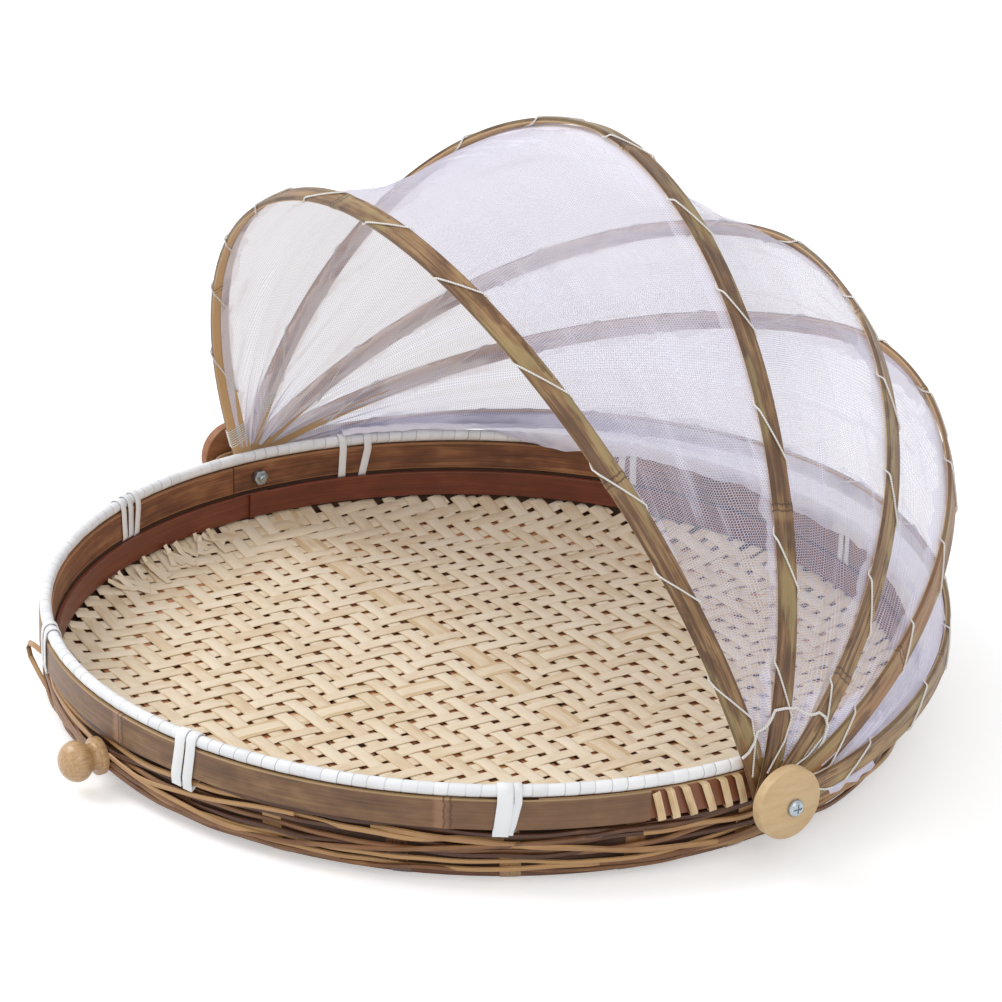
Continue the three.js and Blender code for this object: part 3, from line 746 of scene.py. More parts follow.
# Inner bands: a brown strip level with the outer band, its ends butted near the far pivot, and
# a redder one below it, lapped there, which presses the mat's turned-up edge to the wall.
def inner_skin(dark, pale):
    def extra(colour, height, along, across, tone):
        streaks = fibre_noise(spot(along * 14, across * 260, 3), 5)
        colour = stained(
            colour, (streaks, 0.45, 0.7, 0.7, dark),
            (abs(across), 0.0056, 0.0066, 0.55, pale))
        return joint_marks(colour, height, across, tint(*dark), colour)
    return extra


inner_start, inner_end, inner_radius, inner_thickness = -175.71, 184.11, 198.1, 2.4
inner_finish = bamboo(
    "inner_band", (88, 50, 30), (124, 76, 48), (168, 118, 78),
    grain=0.9, patchy=0.8, varied=0, fibre=1100, stretch=24,
    extra=inner_skin((66, 36, 22), (176, 126, 82)))
stops = arc(inner_start, inner_end, 0.75, inner_radius, band_middle, band_width, inner_thickness)
piece = swept(
    "upper_inner_strip", inner_finish, stops, slat, 0.4,
    [circumference * a / 360 for a in (71, 168, 262)])
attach(piece, "tray")
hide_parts("upper_inner_band")

lower_start, lower_end = -181.4, 181.8
lower_level, lower_width = 20.8, 12.4


def lower_faces(a):
    """Inner and outer radius, thinned at the lap as in the outer band."""
    inner = 194.2 + 1.3 * (1 - ease(a, lower_start + 3.4, lower_start + 7))
    outer = 196.5 - 1.3 * ease(a, lower_end - 10, lower_end - 3.4)
    return inner, outer


stops = arc(
    lower_start, lower_end, 0.75, lambda a: sum(lower_faces(a)) / 2, lower_level, lower_width,
    lambda a: lower_faces(a)[1] - lower_faces(a)[0])
red_finish = bamboo(
    "red_band", (84, 37, 21), (112, 53, 32), (138, 76, 48),
    grain=0.5, patchy=0.45, varied=0, fibre=900, stretch=12, rough=0.42,
    extra=inner_skin((92, 43, 26), (138, 80, 52)))
piece = swept(
    "lower_inner_strip", red_finish, stops, slat, 0.6, [circumference * a / 360 for a in (94, 262)])
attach(piece, "tray")
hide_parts("lower_inner_band")


# Wound rim: one white plastic strip round a core on top of both bands. Each turn leans a
# little and leaves a thin seam beside the next, painted grey as shade.
rim_radius, rim_level, wound_radius = 200, 45.0, 2.72
turns, turn_width = 186, 0.00676
turn_stops = (0, 0.08, 0.3, 0.7, 0.92)
chance = random.Random(21)
turn_ends = [(t + chance.uniform(-0.1, 0.1)) * 360 / turns for t in range(turns)]


def wound(q):
    """Degrees round the rim after q turns of the strip."""
    whole = math.floor(q)
    first = turn_ends[whole % turns] + 360 * (whole // turns)
    second = turn_ends[(whole + 1) % turns] + 360 * ((whole + 1) // turns)
    return first + (second - first) * (q - whole)


bm = blank()
tone, ring = (bm.verts.layers.float[n] for n in ("tone", "ring"))
tones = [chance.random() for t in range(turns)]
plump = [chance.uniform(-0.06, 0.08) for t in range(turns)]
around = 18
rows = turns * len(turn_stops)
grid = bmesh.ops.create_grid(bm, x_segments=rows, y_segments=around, size=0.5)
for v in grid["verts"]:
    k = round((v.co.x + 0.5) * rows)
    j = round((v.co.y + 0.5) * around)
    turn, part = divmod(k, len(turn_stops))
    part = turn_stops[part]
    theta = math.tau * (j / around - 0.25)
    r = wound_radius - 0.07
    if part:
        r = wound_radius + (plump[turn % turns] + 0.04 * math.sin(math.pi * part))
    lean = 0.28 * j / around + 0.72 * ease(j / around, 0.85, 1)
    v.co = polar(
        rim_radius + r * math.cos(theta), wound(turn + part + lean), rim_level + r * math.sin(theta))
    v[tone] = tones[turn % turns]
    v[ring] = min(part, 1 - part) * turn_width
finish = Finish("plastic_strip")
seam = fade(layer(finish, "ring"), 0.0003, 0.00008)
place = finish.node("TexCoord", out="Object")
grime = fade(cloud(place, 55, 5), 0.52, 0.75)
tight = fade(cloud(place, 42, 2), 0.35, 0.65)
colour = blended(layer(finish, "tone"), tint(228, 230, 233), tint(240, 241, 243))
colour = blended(grime * 0.35, colour, tint(206, 203, 196))
# The seams are painted grey, more where the noise is high: painted shade between the turns.
colour = blended(seam * tight * 0.8, colour, tint(158, 156, 156))
strip_finish = shine(
    colour, 0.34 + grime * 0.2, grime * -0.4 - seam, Specular_IOR_Level=0.4)
piece = made(bm, "rim_turns", strip_finish, 60)
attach(piece, "tray")
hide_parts("rim_winding")


# Ties: short lengths of the same white strip over the wound rim and under both bands. Most
# come in pairs, and the ones by the knob are wider and reach down over the wall.
def tie_stops(azimuth, width, low_out, low_in, slant_out, slant_in, lift=0):
    """Once round the rim: up outside, over the winding, down inside and back under the bands."""
    out, side = polar(1, azimuth, 0), crosswise(azimuth)
    over, shoulder = 3.4, 43.2
    outside, inside = 203.75 + lift, 196.2
    hug = 1.4 if low_out < 26 else 0.5
    path = [
        (outside - hug, low_out, slant_out),
        (outside - hug * 0.75, low_out + 2, slant_out * 0.95),
        *((outside, low_out + 1.2 + f * (40 - low_out), slant_out * (0.95 - 0.95 * f))
          for f in (0.25, 0.5, 0.75, 1)),
        (outside - 0.1, shoulder, 0),
        *((rim_radius + over * math.cos(a), rim_level + over * math.sin(a), 0)
          for a in (0.35, 0.75, 1.15, 1.57, 2.0, 2.4, 2.8)),
        (inside + 0.1, shoulder, 0),
        *((inside, 41 - f * (40 - low_in), slant_in * f) for f in (0, 0.25, 0.5, 0.75, 1)),
        (inside + 0.5, low_in - 0.2, slant_in),
        (inside + 2.5, low_in - 0.2, slant_in),
        (outside - hug - 1.6, low_out + 1, slant_out),
    ]
    return [(out * r - side * shift + Vector((0, 0, z)), -side, width, 0.5)
            for r, z, shift in path + path[:1]]


ties = (
    # name, azimuth, width, lowest outside and inside, slants outside and inside, lift
    ("tie_front_a", -32.0, 6.8, 25.2, 27.6, -1.6, 0, 0.45),
    ("tie_front_b", -30.5, 3.4, 25.6, 27.6, -3.2, 0),
    ("tie_knob_a", -73.6, 5.4, 22.0, 27.6, -3.0, 0),
    ("tie_knob_b", -71.9, 5.0, 21.4, 27.6, -2.7, 0),
    ("tie_left_a", -110.2, 3.6, 26.8, 27.6, 0, 0.6),
    ("tie_left_b", -108.4, 3.6, 26.8, 27.6, 0, -0.6),
    ("tie_far_left_a", -156.4, 3.8, 26.8, 27.2, 0, 1.4),
    ("tie_far_left_b", -154.6, 3.8, 26.8, 27.6, 0, 0),
    ("tie_far_left_c", -152.9, 3.8, 26.8, 27.6, 0, -1),
    ("tie_far_a", 166.3, 3.8, 26.8, 27.0, 0, 0.6),
    ("tie_far_b", 162.5, 3.8, 26.8, 27.0, 0, 2.8),
    ("tie_back_left_a", 124.2, 3.6, 26.8, 27.6, 0, 0.5),
    ("tie_back_left_b", 122.5, 3.6, 26.8, 27.6, 0, -0.4),
    ("tie_back_a", 83, 3.6, 26.8, 27.6, 0.5, 0),
    ("tie_back_b", 81.4, 3.6, 26.8, 27.6, -0.4, 0),
    ("tie_back_right_a", 41.8, 3.6, 26.8, 27.6, 0.4, 0),
    ("tie_back_right_b", 40.2, 3.6, 26.8, 27.6, -0.5, 0),
)
for name, *sizes in ties:
    piece = swept(
        name + "_strip", strip_finish, tie_stops(*sizes), lambda w, t: slat(w, t, 0.12),
        random.Random(name).random(), sharp=50)
    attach(piece, "tray")
    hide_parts(name)


# Cane binding: one pale flat cane wound six times round the lap of the outer band. It starts
# at the band's top and ends under its lower edge.
cane_loop = (
    # radius, height, part of the way to the next turn
    (203.9, 41.3, 0), (204.25, 40.6, 0.04), (204.4, 38, 0.14), (204.45, 34, 0.3), (204.4, 30, 0.46),
    (204.2, 28.2, 0.52), (203.4, 27.75, 0.54), (201.6, 27.7, 0.57), (200.5, 27.9, 0.6),
    (200.2, 28.8, 0.64), (200.15, 34, 0.75), (200.2, 40.4, 0.87), (200.7, 41.3, 0.92),
    (202.3, 41.6, 0.97),
)
cane_places = (-13.9, -12.1, -10.1, -7.5, -5.0, -2.9, -0.8)     # azimuth of each turn
cane_turns, cane_width, cane_thickness, last_left_off = 6, 3.5, 0.5, 7
stops = []
for n in range(cane_turns * len(cane_loop) - last_left_off):
    turn, part = divmod(n, len(cane_loop))
    r, z, gone = cane_loop[part]
    a = cane_places[turn] + (cane_places[turn + 1] - cane_places[turn]) * gone
    stops.append((polar(r, a, z), crosswise(a), cane_width, cane_thickness))
cane_finish = bamboo(
    "cane", (176, 142, 100), (218, 190, 148), (236, 216, 180), grain=0.9, patchy=0.9, rough=0.4,
    fibre=2200, stretch=50)
piece = swept("cane_wrap", cane_finish, stops, lambda w, t: slat(w, t, 0.16))
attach(piece, "tray")
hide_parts("cane_binding")


# Knob: turned from one piece of pale wood and a little glossy. It is fixed to the wall at the
# front, with its foot on the weave.
def turned(profile, segments):
    """Spins a row of (radius, height) about Z."""
    bm = blank()
    verts = [bm.verts.new((r, 0, z)) for r, z in profile]
    edges = [bm.edges.new(pair) for pair in zip(verts, verts[1:])]
    bmesh.ops.spin(
        bm, geom=verts + edges, cent=(0, 0, 0), axis=(0, 0, 1), angle=math.tau, steps=segments,
        use_merge=True)
    return bm


def wood(name, dark, mid, pale, rings, rough, strong):
    """Plain turned wood: grain along Y, fine pores and a little gloss."""
    finish = Finish(name)
    x, y, z = axes(finish.node("TexCoord", out="Object"))
    grain = fibre_noise(spot(y * 60, x * rings * 0.35, z * rings * 0.35), 5)
    pores = fibre_noise(spot(y * 500, x * 5200, z * 5200), 3)
    shade = (grain - 0.5) * strong + 0.5 + (pores - 0.5) * 0.35
    colour = ramp(shade, (0.25, dark), (0.5, mid), (0.75, pale))
    return shine(colour, rough + (pores - 0.5) * 0.2, pores, 0.00004)


ball_radius, ball_height, ball_level = 9.2, 7.6, 12.2
ball = [
    (ball_radius * math.cos(math.radians(t)), ball_level + ball_height * math.sin(math.radians(t)))
    for t in range(-45, 91, 5)
]
ball[-1] = (0, ball[-1][1])
bm = turned(
    [(0, 0), (8.2, 0), (8.5, 0.2), (8.6, 0.7), (8.6, 2.6), (8.45, 3.0), (8.0, 3.2), (7.1, 3.3),
     (6.5, 3.9), (6.25, 4.9), (6.25, 6.0)] + ball, 72)
bmesh.ops.rotate(bm, verts=bm.verts, cent=(0, 0, 0), matrix=Matrix.Rotation(math.pi / 2, 3, "X"))
bmesh.ops.translate(bm, verts=bm.verts, vec=(0, -201.5, 14.8))
piece = made(bm, "knob_turned", wood(
    "turned_wood", (164, 124, 84), (190, 154, 112), (210, 178, 138), rings=2600, rough=0.22,
    strong=0.8))
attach(piece, "tray")
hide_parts("front_knob")


# Pivots: a zinc bolt with a cross recess, a flat wooden disc bored off centre, and a nut
# inside the rim. The hoops turn on the bolts between the disc and the outer band.
pivot_level = 35
disc_finish = wood(
    "disc_wood", (184, 150, 106), (202, 172, 129), (214, 187, 147), rings=900, rough=0.5, strong=0.6)
# The far disc takes a darker copy of the disc wood: painted shade, as it is seen from inside the tray.
shaded_disc_finish = wood(
    "disc_wood_shaded", (120, 72, 44), (150, 98, 62), (176, 122, 84), rings=900, rough=0.5, strong=0.6)
zinc = Finish("zinc")
marks = cloud(zinc.node("TexCoord", out="Object"), 900)
zinc_finish = shine(
    blended(marks, tint(138, 150, 160), tint(196, 204, 208)), 0.22 + marks * 0.25,
    marks, 0.00005, Metallic=1.0)
for side, turn in (("near", 0), ("far", 180)):
    stand = (
        Matrix.Translation((0, 0, pivot_level)) @ Matrix.Rotation(math.radians(turn), 4, "Z")
        @ Matrix.Rotation(math.pi / 2, 4, "Y")
    )
    bm = turned([
        (0, 191.2), (1.6, 191.2), (2, 191.6), (2, 229.7), (3.8, 229.7), (3.85, 230.3), (3.6, 231.0),
        (2.9, 231.7), (1.8, 232.05), (0.9, 232.1), (0, 232.1),
    ], 48)
    bmesh.ops.transform(bm, matrix=stand, verts=bm.verts)
    bolt = made(bm, f"bolt_{side}", zinc_finish)
    bm = bmesh.new()
    for wide, tall in ((0.9, 4.2), (4.2, 0.9)):
        blade = bmesh.ops.create_cube(bm, size=1)
        bmesh.ops.scale(bm, verts=blade["verts"], vec=(wide, tall, 2.4))
        bmesh.ops.translate(bm, verts=blade["verts"], vec=(0, 0, 232.3))
    bmesh.ops.transform(bm, matrix=stand, verts=bm.verts)
    driver = made(bm, f"driver_{side}", zinc_finish)
    recess = bolt.modifiers.new("recess", "BOOLEAN")
    recess.operation = "DIFFERENCE"
    recess.solver = "EXACT"
    recess.use_self = True
    recess.object = driver
    cut = bolt.evaluated_get(bpy.context.evaluated_depsgraph_get())
    bolt.data = bpy.data.meshes.new_from_object(cut)
    bolt.modifiers.clear()
    bpy.data.objects.remove(driver)
    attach(bolt, "tray")
    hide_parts(f"pivot_bolt_{side}")

    bm = turned([
        (0, 223.9), (15.5, 223.9), (15.85, 224.1), (16, 224.5), (16, 228.8), (15.85, 229.2),
        (15.5, 229.4), (0, 229.4),
    ], 96)
    bmesh.ops.translate(bm, verts=bm.verts, vec=(-2.0, -2.3, 0))
    bmesh.ops.transform(bm, matrix=stand, verts=bm.verts)
    disc = made(bm, f"disc_{side}", disc_finish if side == "near" else shaded_disc_finish)
    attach(disc, "tray")
    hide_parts(f"pivot_disc_{side}")

    bm = blank()
    bmesh.ops.create_cone(
        bm, cap_ends=True, segments=6, radius1=4.04, radius2=4.04, depth=3.2)
    bmesh.ops.bevel(
        bm, geom=bm.edges[:], offset=0.35, affect="EDGES", segments=2, profile=0.5, material=-1)
    bmesh.ops.translate(bm, verts=bm.verts, vec=(0, 0, 194.9))
    bmesh.ops.transform(bm, matrix=stand, verts=bm.verts)
    nut = made(bm, f"nut_{side}", zinc_finish)
    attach(nut, "tray")
    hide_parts(f"pivot_nut_{side}")


# Hoops: five bent bamboo slats, skin outside, which fan about the pivots. Hoop 5 is fixed
# along the back of the tray and the other four fold down over it.
hoop_sizes = (
    # angle from flat at the front, how far the crown is past the rim, roundness
    (71, 20.3, 1.88), (104.5, 31.7, 1.8), (138, 28.1, 1.8), (157.6, 42.7, 1.74), (174, 12.1, 1.93),
)
hoop_bodies = ("hoop_frame_1", "hoop_frame_2", "hoop_frame_3", "hoop_frame_4", "tray")
hoop_width, hoop_thickness, hoop_tail = 9.8, 2.2, 11     # the tails reach past the bolts


class Hoop:
    """A hoop's line from the near bolt to the far one, measured in millimetres."""

    def __init__(self, number):
        angle, crown, power = hoop_sizes[number]
        self.reach = 205.5 + 3.9 * number + hoop_thickness / 2
        self.away = Vector((0, -math.cos(math.radians(angle)), math.sin(math.radians(angle))))
        self.backward = Vector((0, math.sin(math.radians(angle)), math.cos(math.radians(angle))))
        height = rim_radius + crown
        steps = 240
        self.line = []
        for k in range(steps + 1):
            t = k / steps * math.pi
            c, s = math.cos(t), (math.sin(t) if 0 < k < steps else 0.0)
            m = (abs(c) ** power + s ** power) ** (-1 / power)
            self.line.append((self.reach * c * m, height * s * m))
        self.far = [0.0]
        for (x0, y0), (x1, y1) in zip(self.line, self.line[1:]):
            self.far.append(self.far[-1] + math.hypot(x1 - x0, y1 - y0))
        self.length = self.far[-1]

    def at(self, distance):
        """The line's x and y at a distance, and its outward normal."""
        if distance <= 0:
            return self.reach, distance, 1.0, 0.0
        if distance >= self.length:
            return -self.reach, self.length - distance, -1.0, 0.0
        k = max(min(bisect.bisect_left(self.far, distance), len(self.far) - 1), 1)
        f = (distance - self.far[k - 1]) / (self.far[k] - self.far[k - 1])
        (x0, y0), (x1, y1) = self.line[k - 1], self.line[k]
        before, after = self.line[max(k - 2, 0)], self.line[min(k + 1, len(self.line) - 1)]
        dx, dy = after[0] - before[0], after[1] - before[1]
        size = math.hypot(dx, dy)
        return x0 + (x1 - x0) * f, y0 + (y1 - y0) * f, dy / size, -dx / size

    def point(self, distance, out=0.0, behind=0.0):
        """A place beside the hoop: out along its normal, behind it across its width."""
        x, y, nx, ny = self.at(distance)
        x, y = x + nx * out, y + ny * out
        return Vector((x, 0, pivot_level)) + self.away * y + self.backward * behind


def hoop_skin(colour, height, along, across, tone):
    """Streaks, a ruddy tone, green and dark blots, dark flanks, a pale inner face and specks."""
    streak = fibre_noise(spot(along * 17, across * 520, tone * 90), 6)
    green = fibre_noise(spot(along * 16, across * 90, tone * 60), 3)
    blot = fibre_noise(spot(along * 34, across * 150, tone * 20), 4)
    speck = cloud(spot(along * 160, across * 420, tone * 50), 1, 2)
    colour = stained(
        colour, (streak, 0.49, 0.57, 0.75, (84, 54, 33)),
        (tone, 0.78, 0.86, 0.5, (158, 106, 66)), (green, 0.52, 0.6, 0.6, (162, 144, 98)),
        (blot, 0.57, 0.64, 0.65, (76, 46, 28)), (abs(across), 0.004, 0.0049, 0.5, (72, 46, 28)),
        (layer(across.finish, "lift"), -0.0003, -0.0008, 0.88, (214, 177, 130)),
        (speck, 0.72, 0.78, 0.7, (60, 40, 26)))
    return joint_marks(colour, height, across, tint(60, 38, 24), tint(170, 140, 100))


hoop_finish = bamboo(
    "hoop_bamboo", (86, 57, 34), (142, 108, 72), (172, 143, 102),
    grain=0.8, patchy=0.9, varied=0.35, rough=0.45, fibre=1500, stretch=22, extra=hoop_skin)
# how far from the near bolt each hoop's bamboo joints lie
hoop_joints = ((150, 345, 530), (120, 318, 505), (60, 265, 450), (95, 290, 470), (140, 330, 520))
hoop_tones = (0.45, 0.2, 0.6, 0.92, 0.74)
hoop_lines = [Hoop(n) for n in range(5)]
for n, hoop in enumerate(hoop_lines):
    count = 330
    stops = []
    for k in range(count + 1):
        d = -hoop_tail + (hoop.length + 2 * hoop_tail) * k / count
        near_end = min(d + hoop_tail, hoop.length + hoop_tail - d)
        t = min(near_end / 5, 1)
        width = hoop_width * math.sqrt(max(1 - (1 - t) ** 2, 0.06))
        width += 0.4 * ripple(d / 60, n * 5.1, 0) if near_end > 30 else 0
        stops.append((hoop.point(d), -hoop.backward, width, hoop_thickness))
    joints = [j + hoop_tail for j in hoop_joints[n]]
    piece = swept(f"hoop_slat_{n + 1}", hoop_finish, stops, slat, hoop_tones[n], joints)
    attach(piece, hoop_bodies[n])
    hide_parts(f"hoop_{n + 1}")


# Stitching: a white twisted thread whipped round each hoop, which sews the net to its inside,
# and tight turns of it round the far feet of the first two hoops.
def round_section(width, thickness):
    return [
        (width / 2 * math.cos(math.tau * k / 6), thickness / 2 * math.sin(math.tau * k / 6))
        for k in range(6, 0, -1)
    ]


def cord_stops(points, thick):
    """Stops along a thread whose section is carried along without a twist."""
    side = Vector((0.31, 0.22, 0.92))
    stops = []
    for k, p in enumerate(points):
        ahead = (points[min(k + 1, len(points) - 1)] - points[max(k - 1, 0)]).normalized()
        side = (side - ahead * side.dot(ahead)).normalized()
        stops.append((p, side, thick, thick))
    return stops


def round_hoop(hoop, distance, turn, advance, lift=0.0):
    """A thread's way round a hoop: turn 0 to 0.5 crosses the outside from the back edge."""
    wide, deep = hoop_width / 2 + 0.45 + lift, 1.55 + lift
    path = (
        # part of a turn, behind the middle, out from it, part of the advance
        (0.0, wide, deep * 0.7, 0.0), (0.02, wide * 0.95, deep, 0.02), (0.25, 0, deep + 0.15, 0.2),
        (0.48, -wide * 0.95, deep, 0.38), (0.5, -wide, deep * 0.7, 0.4),
        (0.53, -wide, -deep * 0.7, 0.45), (0.55, -wide * 0.9, -deep, 0.48),
        (0.95, wide * 0.9, -deep, 0.92), (0.97, wide, -deep * 0.7, 0.95), (1.0, wide, deep * 0.7, 1.0),
    )
    for before, after in zip(path, path[1:]):
        if turn <= after[0]:
            f = (turn - before[0]) / (after[0] - before[0])
            _, behind, out, gone = (p + (q - p) * f for p, q in zip(before, after))
            return hoop.point(distance + gone * advance, out, behind)
    return hoop.point(distance + advance, path[0][2], wide)


thread = Finish("thread")
ply = abs((layer(thread, "along") * 900 + layer(thread, "lift") * 900) % 1 - 0.5)
thread_finish = shine(
    blended(fade(ply, 0.1, 0.4), tint(240, 238, 234), tint(206, 202, 198)),
    0.75, ply, -0.0002)
stitch_turns, stitch_near, stitch_far, stitch_thick = 11, 32, 48, 0.85
stitch_parts = (
    0, 0.02, 0.08, 0.15, 0.25, 0.35, 0.42, 0.48, 0.5, 0.53, 0.55, 0.7, 0.85, 0.95, 0.97,
)
for n, hoop in enumerate(hoop_lines):
    chance = random.Random(40 + n)
    pitch = (hoop.length - stitch_near - stitch_far) / stitch_turns
    shifts = [chance.uniform(-4, 4) for t in range(stitch_turns + 1)]
    points = [hoop.point(8, 1.75, -3.5), hoop.point(14, 1.8, -1), hoop.point(22, 1.8, 2.8)]
    for turn in range(stitch_turns):
        start = stitch_near + turn * pitch + shifts[turn]
        advance = pitch + shifts[turn + 1] - shifts[turn]
        points += [round_hoop(hoop, start, part, advance) for part in stitch_parts]
    stops = cord_stops(points, stitch_thick)
    piece = swept(f"stitching_{n + 1}", thread_finish, stops, round_section)
    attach(piece, hoop_bodies[n])
    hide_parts(f"stitch_thread_{n + 1}")
foot_count, foot_pitch, foot_thick, turn_points = 8, 1.35, 0.62, 15
for n, start in ((0, 17), (1, 31)):
    hoop = hoop_lines[n]
    points = []
    for k in range(foot_count * turn_points + 1):
        turn, part = divmod(k, turn_points)
        distance = hoop.length - start - turn * foot_pitch
        points.append(round_hoop(hoop, distance, part / turn_points, -foot_pitch, -0.05))
    stops = cord_stops(points, foot_thick)
    piece = swept(f"foot_turns_{n + 1}", thread_finish, stops, round_section)
    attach(piece, hoop_bodies[n])
    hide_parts(f"foot_binding_{n + 1}")


# Net: white hexagonal netting sewn to the inside of every hoop, which sags between them and
# gathers into folds towards the pivots. Each panel is cut into bands at fixed distances from
# the pivots' axis, so that every band can bend between its two hoops.
net_slack = (9, 5, 12, 10)       # how far each panel sags
net_lowest = (14, 14, 21, 25)    # where each panel's bands begin
net_top, net_step = 190, 16      # the crown begins at net_top at the latest, above the bands
net_columns = 48
hoop_metres = 0.68               # a hoop's length, by which the net's weave is spread along it


class Panel:
    """The net between one hoop and the next."""

    def __init__(self, number):
        self.number = number
        self.front, self.behind = hoop_lines[number], hoop_lines[number + 1]
        angles = [math.radians(hoop_sizes[n][0]) for n in (number, number + 1)]
        middle = sum(angles) / 2
        self.half = (angles[1] - angles[0]) / 2
        self.inward = Vector((0, math.cos(middle), -math.sin(middle)))
        self.across = Vector((0, math.sin(middle), math.cos(middle)))

    def at(self, u, v):
        """u runs from the near pivot to the far one, v from the front hoop to the next."""
        first = self.front.point(u * self.front.length, -1.5, -0.5)
        second = self.behind.point(u * self.behind.length, -1.55, 0.5)
        place = first.lerp(second, v)
        free = math.sin(math.pi * v)
        arch = max(math.sin(math.pi * u), 0) ** 0.6
        gathered = 1 - arch
        sag = net_slack[self.number] * free ** 2 * arch
        folds = ripple(v * 7, u * 2.5, self.number * 9.1)
        fine = ripple(v * 19 + 3, u * 5, self.number * 4.7)
        pleats = math.sin(math.tau * (4.5 * v + 0.6 * ripple(u * 9, self.number, 2)))
        wave = folds * (1.8 + 2 * gathered) + fine * (0.8 + gathered) + pleats * 3 * gathered ** 1.5
        _, _, nx, ny = self.front.at(u * self.front.length)
        out = Vector((nx, 0, 0)) - self.inward * ny
        return place + self.inward * sag + out * (free * wave)

    def radius(self, u, v):
        place = self.at(u, v)
        return math.hypot(place.y, place.z - pivot_level)

    def reach(self, radius, v, far):
        """u at which the net passes a distance from the pivots' axis."""
        low, high = 0.0, 0.5
        for step in range(26):
            u = (low + high) / 2
            if self.radius(1 - u if far else u, v) < radius:
                low = u
            else:
                high = u
        return 1 - high if far else high


def cloth(bm, rows, columns, at):
    """Lays a grid of net; at() gives each corner's place, its place in the weave and its layers."""
    hem, reach = (bm.verts.layers.float[n] for n in ("hem", "reach"))
    uv = bm.loops.layers.uv["net"]
    grid = bmesh.ops.create_grid(bm, x_segments=rows, y_segments=columns, size=0.5)
    flat = {}
    for vert in grid["verts"]:
        vert.co, flat[vert], vert[hem], vert[reach] = at(vert.co.x + 0.5, vert.co.y + 0.5)
    for face in bm.faces:
        for loop in face.loops:
            if loop.vert in flat:
                loop[uv].uv = flat[loop.vert]


def net_blank():
    bm = bmesh.new()
    bm.loops.layers.uv.new("net")
    for name in ("hem", "reach"):
        bm.verts.layers.float.new(name)
    return bm


def net_band(panel, low, high):
    """A band of net: an island at each end, or the whole crown where there is no top."""
    bm = net_blank()
    if high is None:
        islands = [(low, False, low, True, 130)]
    else:
        rows = max(4, round((high - low) / 4))
        islands = [(low, far, high, far, rows) for far in (False, True)]
    for start, start_far, end, end_far, rows in islands:
        spans = []
        for j in range(net_columns + 1):
            v = j / net_columns
            spans.append((panel.reach(start, v, start_far), panel.reach(end, v, end_far)))

        def at(along, across):
            k, j = round(along * rows), round(across * net_columns)
            v = j / net_columns
            u = spans[j][0] + (spans[j][1] - spans[j][0]) * k / rows
            wide = (panel.at(u, 0) - panel.at(u, 1)).length
            hem = min(v * wide + 2.4, (1 - v) * wide) / 1000
            flat = (u * hoop_metres, (v - 0.5) * wide / 1000)
            return panel.at(u, v), flat, hem, panel.radius(u, v) / 1000

        cloth(bm, rows, net_columns, at)
    return bm


def netting(name, cover, pale):
    """Net of six-sided holes; cover is how much of them a further layer closes."""
    finish = Finish(name)
    hole = 0.00125
    x, y, _ = axes(finish.node("UVMap", {"uv_map": "net"}))
    x, y = x / hole, y / hole
    tall = math.sqrt(3)
    ax, ay = abs(x % 1 - 0.5), abs(y % tall - tall / 2)
    bx, by = abs((x - 0.5) % 1 - 0.5), abs((y - tall / 2) % tall - tall / 2)
    first = ax.sum("MAXIMUM", ax, ax * 0.5 + ay * (tall / 2))
    second = bx.sum("MAXIMUM", bx, bx * 0.5 + by * (tall / 2))
    line = fade(first.sum("MINIMUM", first, second), 0.35, 0.425)

    hem, reach = layer(finish, "hem"), layer(finish, "reach")
    place = finish.node("TexCoord", out="Object")
    crease = cloud(place, 60) - 0.5
    ruck = fibre_noise(spot(x * 0.011, y * 0.13, 0), 4)
    tucks = fibre_noise(spot(x * 0.02, y * 0.05, 7), 3)
    doubled = fade(hem + crease * 0.016, 0.0098, 0.0086) * fade(tucks, 0.36, 0.52)
    folds = fade(ruck + crease * 0.15, 0.54, 0.74) * fade(hem, 0.08, 0.01)
    gathered = fade(reach, 0.056, 0.016) * fade(ruck, 0.4, 0.6)
    layers = folds.sum("MAXIMUM", doubled, (folds + gathered).sum("MINIMUM", folds + gathered, 1))

    far = fade(axes(place)[0], 0.02, -0.07)
    web = line * (0.6 - far * 0.18) + far * 0.27 + 0.13
    alpha = web + (1 - web) * (layers * (0.5 - cover / 2) + cover)
    cloudy = cloud(place, 14)
    # The single net is painted darker on the far side, which is seen from inside: painted shade.
    near_single = blended(cloudy, tint(213, 211, 230), tint(226, 224, 243))
    far_single_shaded = blended(cloudy, tint(201, 199, 219), tint(215, 213, 233))
    single = blended(far, near_single, far_single_shaded)
    # Layered net is whiter for its layers; on the far side it is painted whiter still, as painted light
    # through the net from behind.
    layered = blended(far, tint(*pale), tint(248, 246, 255))
    colour = blended(layers * 0.7, single, layered)
    return shine(colour, 0.85, Alpha=alpha, Specular_IOR_Level=0.2)


net_finish = netting("net", 0, (230, 228, 246))
crown_long, crown_reach = 0.5, 232      # length of the hoop's arc in metres, its reach in mm
hoop_slope = 1.25                       # a hoop's length per distance from the pivots' axis
middle = Vector((0, 0, pivot_level))
for n in range(4):
    panel = Panel(n)
    cuts = [*range(net_lowest[n], net_top + 1, net_step), None]
    for low, high in zip(cuts, cuts[1:]):
        bm = net_band(panel, low, high)
        in_metres(bm)
        area = sum(face.calc_area() for face in bm.faces)
        part = "crown" if high is None else f"side_{low}"
        piece = placed(bm, f"net_{n + 1}_{part}", net_finish)
        long = crown_long if high is None else 2 * hoop_slope * (high - low) / 1000
        wide = max(2 * math.sin(panel.half) * (high or crown_reach) / 1000, area / long)
        reach = low * math.sin(panel.half) - 0.6
        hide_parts(f"net_panel_{n + 1}")
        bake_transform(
            piece, hoop_bodies[n], hoop_bodies[n + 1],
            start=(middle - panel.across * reach) / 1000, end=(middle + panel.across * reach) / 1000)


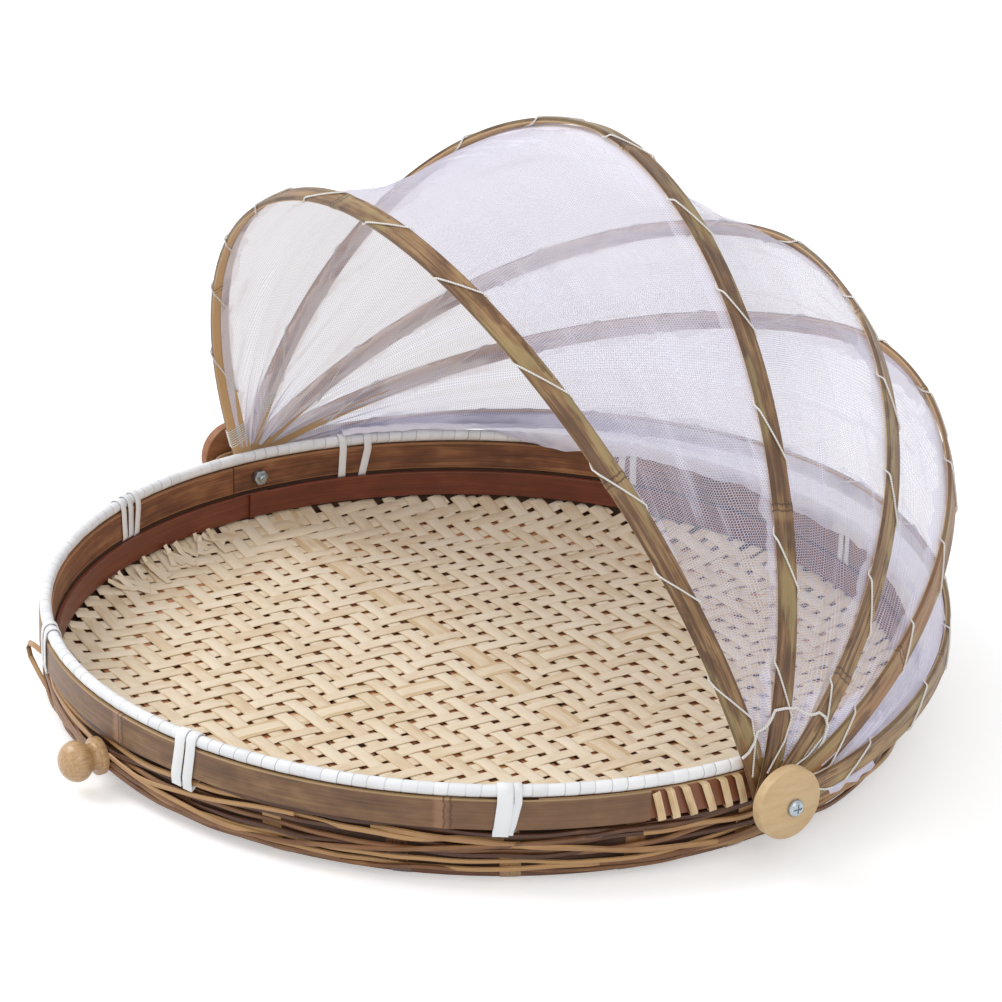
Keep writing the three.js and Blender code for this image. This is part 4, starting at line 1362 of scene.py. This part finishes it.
# Loose net: the flap sewn to hoop 5 falls over the rim, and its raw edge shows under the hoop
# beside the near disc.
back_hoop = hoop_lines[4]
over_rim = ((203.2, 49.8), (200, 50.1), (197.6, 49.2), (196.0, 47), (195.5, 44))


def rim_flap(u, v):
    """From hoop 5's front edge over its inner face and the rim, down to a ragged edge."""
    on_hoop = ((-1.7, -4), (-2.2, 0), (-2.1, 4.7))
    laid = [back_hoop.point(u * back_hoop.length, *place) for place in on_hoop]
    a = math.degrees(math.atan2(laid[0].y, laid[0].x))
    ragged = 3.5 * ripple(u * 11, 3.3, 0) + 2 * ripple(u * 41, 1.3, 0)
    path = [(math.hypot(p.x, p.y), p.z) for p in laid] + [*over_rim, (195.3, 40.5 + ragged)]
    place = v * (len(path) - 1) * (1 - 0.35 * ease(a, 134, 146))
    k = min(int(place), len(path) - 2)
    f = place - k
    r, z = (p + (q - p) * f for p, q in zip(path[k], path[k + 1]))
    ruffle = abs(ripple(u * 60, v * 3, 8)) + abs(ripple(u * 23, v * 2, 4))
    return polar(r, a, z) + Vector((0, 0, ruffle * 1.6 * min(place, 1)))


def raw_edge(u, v):
    """The frayed strip that hangs out behind the hoop's foot."""
    drop = 2.2 + 1.5 * ripple(u * 90, 6.1, 0)
    curl = 0.8 * ripple(u * 130, v * 3, 2)
    return back_hoop.point(u * back_hoop.length, 1.5 + 1.4 * v + curl * v, 3.6 + drop * v)


bm = net_blank()
flap_drop = 0.03
for fall, low, high, rows, columns, near_hem in (
    (rim_flap, 0.08, 0.92, 220, 18, 0.006), (raw_edge, 0.035, 0.08, 40, 5, 0.2),
):
    def at(along, v):
        u = low + (high - low) * along
        return fall(u, v), (u * hoop_metres, v * flap_drop), near_hem, 0.2

    cloth(bm, rows, columns, at)
in_metres(bm)
area = sum(face.calc_area() for face in bm.faces)
# The flap's layers are near white: partly the white of doubled net, partly painted light against the shade
# it lies in.
piece = placed(bm, "net_flap", netting("net_layers", 0.55, (250, 249, 251)))
round(area / 0.56, 4)
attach(piece, "tray")


# Strings: a thicker white thread by the near disc, which ties the net's gathers from hoop 1 to
# hoop 2 and on to hoop 3. It hangs a little slack between them.
string_thick = 1.3
for n, first, second in (
    # hoop, then places on it and on the next one: distance, out, behind
    (0, ((19, 1.9, -5.6), (20, 2.4, -2), (22.5, 2.4, 2), (26, 2.1, 5.3)),
     ((35, 2.1, -5.3), (36, 2.4, 0), (36, 2.1, 5.3))),
    (1, ((36, 2.1, 5.3), (36.3, 1.8, 6.2)),
     ((39, 2.1, -5.3), (39.5, 2.5, -1), (37.5, 2.5, 3), (32, 2.1, 5.8), (24, 2.1, 6), (14, 1.9, 4.5))),
):
    start = [hoop_lines[n].point(*p) for p in first]
    end = [hoop_lines[n + 1].point(*p) for p in second]
    slack = [
        start[-1].lerp(end[0], f) + Vector((0.8, 0, -1.8)) * math.sin(math.pi * f)
        for f in (0.2, 0.4, 0.6, 0.8)
    ]
    stops = cord_stops(start + slack + end, string_thick)
    piece = swept(f"net_string_{n + 1}", thread_finish, stops, round_section)
    across = Panel(n).across * 2
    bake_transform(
        piece, hoop_bodies[n], hoop_bodies[n + 1], start=(middle - across) / 1000,
        end=(middle + across) / 1000)
